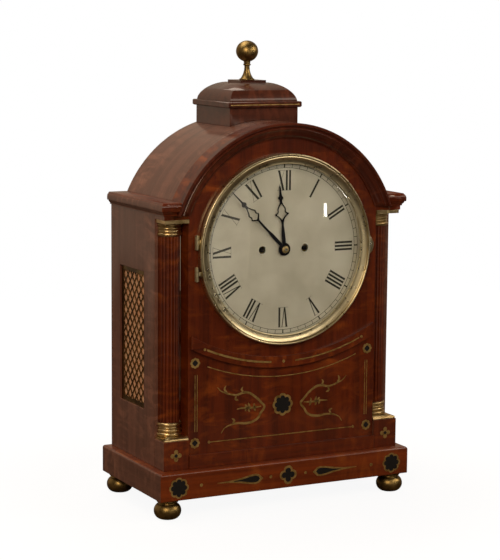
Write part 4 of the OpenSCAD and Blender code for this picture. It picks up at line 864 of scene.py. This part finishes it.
# silvering has a soft grey metal surface with hairline graining and warmer, worn patches
place = add(tree, "TexCoord").outputs["Object"]
wear = add(tree, "TexNoise", {"Vector": place, "Scale": 1 / (38 * MM), "Detail": 5.0})
tarnish = add(tree, "MapRange", {"Value": wear, "From Min": 0.35, "From Max": 0.7})
colour = add(tree, "Mix", {0: tarnish, 6: tone("#cfcac1"), 7: tone("#bbb5aa")},
             data_type="RGBA")
drawn = add(tree, "Mapping", {"Vector": place, "Scale": (2500.0, 2500.0, 60.0)})
hairs = add(tree, "TexNoise", {"Vector": drawn, "Scale": 1.0, "Detail": 3.0})
rough = add(tree, "MapRange", {"Value": hairs, "From Min": 0.3, "From Max": 0.7, "To Min": 0.38,
                                         "To Max": 0.56})
bump = add(tree, "Bump", {"Height": hairs, "Strength": 0.3, "Distance": 0.02 * MM})
metal = add(tree, "BsdfPrincipled", {"Base Color": colour, "Metallic": 0.45, "Roughness": rough,
                                               "Normal": bump})
add(tree, "OutputMaterial", {"Surface": metal})


def mottled(name, dark, light, per_metre, detail, metallic, rough_low, rough_high):
    """A material whose tone and gloss drift together."""
    made, tree = new_material(name)
    place = add(tree, "TexCoord").outputs["Object"]
    drift = add(tree, "TexNoise", {"Vector": place, "Scale": per_metre, "Detail": detail})
    colour = add(tree, "Mix", {0: drift, 6: tone(dark), 7: tone(light)}, data_type="RGBA")
    rough = add(tree, "MapRange", {"Value": drift, "To Min": rough_low, "To Max": rough_high})
    body = add(tree, "BsdfPrincipled", {"Base Color": colour, "Metallic": metallic, "Roughness": rough})
    add(tree, "OutputMaterial", {"Surface": body})
    return made


# engraver's black wax, filled level and slightly dull, with a little scatter in its gloss
wax = mottled("black_wax", "#040404", "#100e0d", 900.0, 2.0, 0.0, 0.35, 0.6)

low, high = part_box("dial_plate")
dial_r = (high.x - low.x) / 2 / MM
DIAL_T = 2.0
COLLAR_PROUD = 0.5
dial_y = low.y + COLLAR_PROUD * MM
WIND_X = 27.8
plate = sheet_from("dial_disc", [round_loop(0, 0, dial_r, 180), round_loop(0, 0, 4.6, 48),
                                 round_loop(-WIND_X, 0, 4.6, 48), round_loop(WIND_X, 0, 4.6, 48)],
                   DIAL_T, upright(dial_y + DIAL_T / 2 * MM, dial_z), silvered)
parts = [plate]
for u in (-WIND_X, WIND_X):
    collar = lathe([(4.5, -DIAL_T), (6.0, -DIAL_T), (6.2, 0), (5.9, 0.4), (5.4, COLLAR_PROUD), (4.8, 0.42),
                    (4.5, 0.2)], 64)
    collar.transform(on_dial(dial_y, u))
    parts.append(new_piece("collar", collar, silvered))
for u, v in ((-52, 64), (52, 64), (-52, -64), (52, -64)):
    dial_foot = lathe([(0, -(high.y - dial_y) / MM), (2.2, -(high.y - dial_y) / MM), (2.4, -20.6), (2.4, -DIAL_T),
                       (3.2, -DIAL_T + 0.1), (0, -DIAL_T + 0.1)], 32)
    dial_foot.transform(on_dial(dial_y, u, v))
    parts.append(new_piece("dial_foot", dial_foot, bright_brass))
fit(merged("silvered_dial", *parts), "dial_plate")

NUMERALS = ("XII", "I", "II", "III", "IIII", "V", "VI", "VII", "VIII", "IX", "X", "XI")
INNER_R, OUTER_R = 68.0, 91.0
LETTER_WIDTH = {"I": 4.2, "V": 9.6, "X": 10.4}
engraved = []
for hour, word in enumerate(NUMERALS):
    total = sum(LETTER_WIDTH[letter] for letter in word)
    at = -total / 2
    strokes = []
    for letter in word:
        wide = LETTER_WIDTH[letter]
        a, b = at + 1.1, at + wide - 1.1
        if letter == "I":
            mid = at + wide / 2
            bars = [(mid - 1.2, mid + 1.2, mid + 1.2, mid - 1.2)]
        elif letter == "V":
            mid = (a + b) / 2
            bars = [(mid - 0.8, mid + 1.0, a + 2.4, a - 0.2), (mid, mid + 0.9, b + 0.1, b - 0.9)]
        else:
            bars = [(b - 2.5, b + 0.2, a + 2.5, a - 0.2), (a, a + 0.4, b, b - 0.4)]
        # each bar has two corners at its foot and two at its head
        strokes += [list(zip(bar, (INNER_R, INNER_R, OUTER_R, OUTER_R))) for bar in bars]
        at += wide
    for v in (INNER_R, OUTER_R):
        # a fine serif line joins the feet and the heads of each numeral
        end = total / 2 - 0.3
        strokes.append([(-end, v - 0.14), (end, v - 0.14), (end, v + 0.14), (-end, v + 0.14)])
    turn = math.radians(30 * hour)
    for stroke in strokes:
        engraved.append([(u * math.cos(turn) + v * math.sin(turn),
                          dial_z / MM + v * math.cos(turn) - u * math.sin(turn)) for u, v in stroke])
fit(let_in("dial_numerals", engraved, dial_y, 0.03, wax, 0.2), "dial_plate")
for name, radius in (("inner", 94.0), ("outer", 98.4)):
    ring_line = sheet_from("minute_ring_" + name, [round_loop(0, 0, radius + 0.26, 180),
                                                   round_loop(0, 0, radius - 0.26, 180)],
                           0.2, upright(dial_y + 0.07 * MM, dial_z), wax)
    fit(ring_line, "dial_plate")

marking, given = new_geometry("minute_marks", Radius="Float", Length="Float", Width="Float", Depth="Float",
                              Heavier="Float", Count="Int")
ring = add(marking, "GeometryNodeMeshCircle", {"Vertices": given["Count"], "Radius": given["Radius"]})
size = add(marking, "CombineXYZ", {0: given["Length"], 1: given["Width"], 2: given["Depth"]})
mark = add(marking, "GeometryNodeMeshCube", {"Size": size})
index = add(marking, "GeometryNodeInputIndex")
share = add(marking, "Math", {0: index, 1: given["Count"]}, operation="DIVIDE")
turn = add(marking, "Math", {0: share, 1: 2 * math.pi}, operation="MULTIPLY")
turned = add(marking, "CombineXYZ", {2: turn})
fifth = add(marking, "Math", {0: index, 1: 5.0}, operation="MODULO")
heavy = add(marking, "Math", {0: fifth, 1: 0.5}, operation="LESS_THAN")
extra = add(marking, "Math", {0: heavy, 1: given["Heavier"]}, operation="MULTIPLY")
wide = add(marking, "Math", {0: extra, 1: 1.0}, operation="ADD")
scale = add(marking, "CombineXYZ", {0: 1.0, 1: wide, 2: 1.0})
marks = add(marking, "GeometryNodeInstanceOnPoints", {"Points": ring, "Instance": mark, "Rotation": turned,
                                                      "Scale": scale})
finish_geometry(marking, (marks,), wax)
minutes = grown("minute_marks", marking, {"Radius": 96.2 * MM, "Length": 4.4 * MM, "Width": 0.6 * MM,
                                          "Depth": 0.2 * MM, "Heavier": 1.5, "Count": 60}, wax)
minutes.data.transform(upright(dial_y + 0.06 * MM, dial_z))
fit(minutes, "dial_plate")

# ---------------------------------------------------------------- hands
# Pierced spade hands sawn from steel and blued almost black, with softened edges. The minute hand
# is held by a turned brass collet.
HOURS, MINUTES = 11, 52.5
HOUR_LAG = 1.6  # the hour hand is friction-tight on its pipe and stands a little behind
# heat-blued steel gone nearly black, with a faint blue sheen and fine file marks
blued = mottled("blued_steel", "#0a0a10", "#1c1c2a", 1400.0, 3.0, 0.6, 0.24, 0.4)


def hand_loops(side, opening, hole_r, turn_degrees):
    """A hand's outline, its pierced spade and its hole: side holds (distance out, half width)."""
    outline = [(half, out) for out, half in side] + [(-half, out) for out, half in side[::-1]]
    boss_r = math.hypot(side[0][0], side[0][1])
    start = math.degrees(math.atan2(side[0][0], side[0][1]))
    boss = [(boss_r * math.cos(math.radians(a)), boss_r * math.sin(math.radians(a)))
            for a in (180 - start + (180 + 2 * start) * k / 40 for k in range(1, 40))]
    pierced = [(half, out) for out, half in opening] + [(-half, out) for out, half in opening[::-1]]
    turn = math.radians(turn_degrees)
    return [[(u * math.cos(turn) - v * math.sin(turn), u * math.sin(turn) + v * math.cos(turn))
             for u, v in loop]
            for loop in (outline + boss, pierced, round_loop(0, 0, hole_r, 40))]


hour_side = [(7.2, 2.4), (18, 2.2), (28, 1.3), (31, 1.4), (33.5, 2.2), (35.5, 3.0), (37.5, 4.8), (39.0, 6.6),
             (40.4, 8.9), (41.3, 9.2), (42.2, 7.6), (43.2, 5.9), (44.5, 5.2), (46, 5.5), (48, 5.2), (50, 4.0),
             (52.5, 2.4), (55, 1.4), (57.0, 1.5), (59.8, 3.4), (62.4, 1.8), (65, 1.4), (70, 1.1), (73, 0.7),
             (74, 0.3)]
hour_open = [(34.6, 0.4), (36.4, 1.6), (38.2, 3.4), (39.6, 5.2), (40.7, 6.7), (41.7, 5.3), (42.8, 4.3),
             (44.6, 3.9), (46.2, 4.2), (47.6, 3.9), (49.3, 2.9), (51.6, 1.3), (53, 0.3)]
minute_side = [(4.7, 1.9), (20, 2.1), (25, 2.0), (31, 1.3), (47, 1.2), (49.5, 1.3), (51.5, 2.5), (53, 4.3),
               (54.4, 5.8), (55.8, 6.2), (57, 5.1), (58.2, 4.7), (60, 5.4), (61.8, 5.7), (63.5, 4.6),
               (65.5, 3.4), (68, 2.5), (70.5, 1.5), (73, 1.3), (74.4, 2.6), (76.2, 3.4), (78.0, 2.2),
               (79.5, 1.1), (84, 0.8), (97, 0.35)]
minute_open = [(52, 0.5), (53.6, 2.6), (55, 4.4), (56.2, 4.6), (57.4, 3.5), (58.6, 3.3), (60.2, 4.1),
               (61.5, 4.2), (63, 3.2), (65, 2.2), (67.6, 1.3), (69.5, 0.4)]
for node, side, opening, hole_r, turned in (
        ("hour_hand", hour_side, hour_open, 3.02, HOUR_LAG - 30 * (HOURS + MINUTES / 60)),
        ("minute_hand", minute_side, minute_open, 1.51, -6 * MINUTES)):
    low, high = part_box(node)
    hand = sheet_from(node + "_blued", hand_loops(side, opening, hole_r, turned), (high.y - low.y) / MM,
                      upright((low.y + high.y) / 2, dial_z), blued, edge_mm=0.12)
    fit(hand, node)
low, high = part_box("hand_collet")
collet = lathe([(0.2, 0), (4.2, 0), (4.2, 0.4)] + bow(1.5, (2.6, 0.4), 10, 80, 8) + [(0.2, 1.9)], 64)
collet.transform(on_dial(high.y))
fit(new_piece("hand_collet_turned", collet, bright_brass), "hand_collet")

# ---------------------------------------------------------------- back door
# A glazed mahogany door on two brass butt hinges, with a turned brass pull, closing the rear frame.
door_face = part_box("rear_frame")[1].y


def is_brass_fitting(centre, normal):
    return 1 if centre.y > door_face + 0.05 * MM else 0


planed("back_door", side_upright, sheet_brass, sort=is_brass_fitting)
planed("back_door_glass", glass)
planed("back_door_hinges", sheet_brass)

# ---------------------------------------------------------------- movement
# A two-train fusee movement between heavy brass plates on an oak seat board: brass wheels on steel
# arbors with cut pinions, gut lines from the barrels to the fusees, an anchor and a pendulum.
plate_brass = brass("brass_plate", "#8f7434", "#c9a558", 0.3, patch_mm=30, brushed=(1, 1, 0.1))
wheel_brass = brass("brass_wheel", "#94793a", "#d0ad60", 0.26, patch_mm=18)
# bright polished steel with a few dull patches of old oil, 4 mm across
steel = mottled("polished_steel", "#8d9094", "#b9bbbd", 1 / (4 * MM), 4.0, 1.0, 0.18, 0.4)

for node in ("front_plate", "back_plate"):
    planed(node, plate_brass, ease_mm=0.25)
for node in ("plate_pillars", "back_cock"):
    planed(node, plate_brass)
oak_board = mahogany("oak_board", 0, "#7a5a34", "#96703f", "#a9824e", coat=0.1, coat_rough=0.4)
planed("seat_board", oak_board, ease_mm=0.5)
# winding squares and arbors gone brown-black with oil and handling
old_steel = mottled("old_steel", "#15120f", "#3a332c", 1 / (3 * MM), 3.0, 0.8, 0.35, 0.6)
for node, arbor_mm in (("going_fusee", 3.2), ("strike_fusee", 3.2), ("going_barrel", 4.1), ("strike_barrel", 4.1),
                       ("centre_wheel", 3.0), ("third_wheel", 2.2), ("escape_wheel", 2.2), ("pin_wheel", 2.6),
                       ("cannon_wheel", 0.1), ("minute_wheel", 0.1), ("hour_wheel", 0.1)):
    low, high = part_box(node)
    axis = (low + high) / 2

    def on_arbor(centre, normal):
        return 1 if math.hypot(centre.x - axis.x, centre.z - axis.z) < arbor_mm * MM else 0

    planed(node, wheel_brass, old_steel if "fusee" in node else steel, sort=on_arbor)
for node in ("pallet_anchor", "strike_hammer", "bell_stand"):
    planed(node, steel)
bob_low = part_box("pendulum")[0].z


def on_rod(centre, normal):
    return 1 if centre.z > bob_low + 62 * MM else 0


planed("pendulum", bright_brass, steel, sort=on_rod)
bell_metal = brass("bell_metal", "#a68a4e", "#dcc58a", 0.17, patch_mm=16, low=0.5, high=0.8)
planed("bell", bell_metal)
gut, tree = new_material("gut_line")
# twisted sheep gut, amber and slightly glossy, its twist a fine spiral band
place = add(tree, "TexCoord").outputs["Object"]
twist = add(tree, "TexWave", {"Vector": place, "Scale": 260.0, "Distortion": 1.5})
colour = add(tree, "Mix", {0: twist, 6: tone("#8a5a24"), 7: tone("#c79a55")}, data_type="RGBA")
bump = add(tree, "Bump", {"Height": twist, "Strength": 0.5, "Distance": 0.1 * MM})
cord = add(tree, "BsdfPrincipled", {"Base Color": colour, "Roughness": 0.42, "Normal": bump})
add(tree, "OutputMaterial", {"Surface": cord})
planed("gut_lines", gut)
